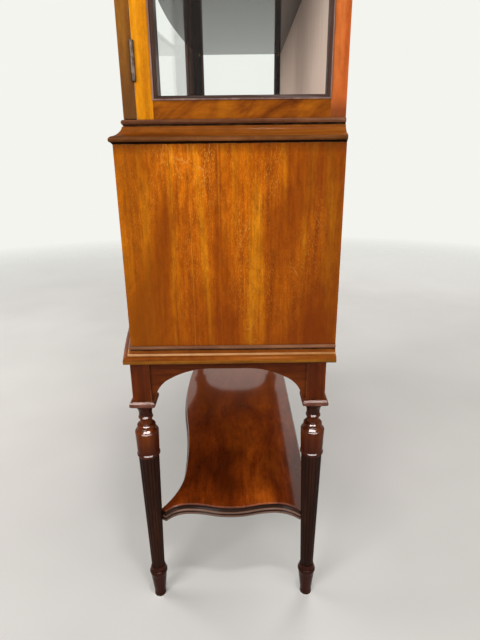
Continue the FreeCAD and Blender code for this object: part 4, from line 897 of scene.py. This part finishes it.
def make_lamps():
    """Soft lamps, which the panes don't mirror."""
    turnings = bpy.data.collections.new("turnings")
    glazing = bpy.data.collections.new("glazing")
    for name, node in NODES.items():
        if name.startswith("leg"):
            turnings.objects.link(node)
        elif "glass" in name:
            glazing.objects.link(node)
    for linked in glazing.collection_objects:
        linked.light_linking.link_state = "EXCLUDE"
    for name, (at, aim, size, power) in LAMPS.items():
        lamp = bpy.data.lights.new(name, "AREA")
        lamp.shape = "RECTANGLE"
        lamp.size, lamp.size_y = size
        lamp.energy = power
        holder = bpy.data.objects.new(name, lamp)
        holder.location = at
        holder.rotation_euler = (Vector(aim) - Vector(at)).to_track_quat("-Z", "Y").to_euler()
        holder.visible_camera = False
        holder.visible_glossy = name not in UNSEEN_LAMPS
        holder.visible_diffuse = name not in LEG_LAMPS
        holder.light_linking.receiver_collection = turnings if name in LEG_LAMPS else glazing
        bpy.context.scene.collection.objects.link(holder)


def make_sky():
    """Even grey sky that lights the part, with a pale backdrop for the camera, for gloss and for glass."""
    world = bpy.data.worlds.new("sky")
    bpy.context.scene.world = world
    world.use_nodes = True
    nodes, links = world.node_tree.nodes, world.node_tree.links
    sky = nodes["Background"]
    sky.inputs["Color"].default_value = (SKY_GREY, SKY_GREY, SKY_GREY, 1)
    sky.inputs["Strength"].default_value = SKY_STRENGTH
    backdrop = nodes.new("ShaderNodeBackground")
    backdrop.inputs["Color"].default_value = srgb(BACKDROP)
    path = nodes.new("ShaderNodeLightPath")
    seen = path.outputs["Is Camera Ray"]
    for other in ("Is Glossy Ray", "Is Transmission Ray"):
        either = nodes.new("ShaderNodeMath")
        either.operation = "MAXIMUM"
        links.new(seen, either.inputs[0])
        links.new(path.outputs[other], either.inputs[1])
        seen = either.outputs[0]
    both = nodes.new("ShaderNodeMixShader")
    links.new(seen, both.inputs[0])
    links.new(sky.outputs[0], both.inputs[1])
    links.new(backdrop.outputs[0], both.inputs[2])
    links.new(both.outputs[0], nodes["World Output"].inputs["Surface"])
    bpy.context.scene.view_settings.view_transform = "Standard"


def make_camera():
    """Camera at the photograph's place and angle, looking along -X and down."""
    data = bpy.data.cameras.new("camera")
    data.sensor_width = SENSOR_MM
    data.lens = FOCAL_PX / IMAGE_LONG_SIDE_PX * SENSOR_MM
    camera = bpy.data.objects.new("camera", data)
    pitch = math.radians(CAMERA_PITCH)
    forward = Vector((-math.cos(pitch), 0, -math.sin(pitch)))
    turn = forward.to_track_quat("-Z", "Y").to_matrix().to_4x4()
    roll = Matrix.Rotation(-math.radians(CAMERA_ROLL), 4, "Z")
    camera.matrix_world = Matrix.Translation(CAMERA_AT) @ turn @ roll
    bpy.context.scene.collection.objects.link(camera)
    bpy.context.scene.camera = camera


make_screws()
make_floor()
make_lamps()
make_sky()
make_camera()
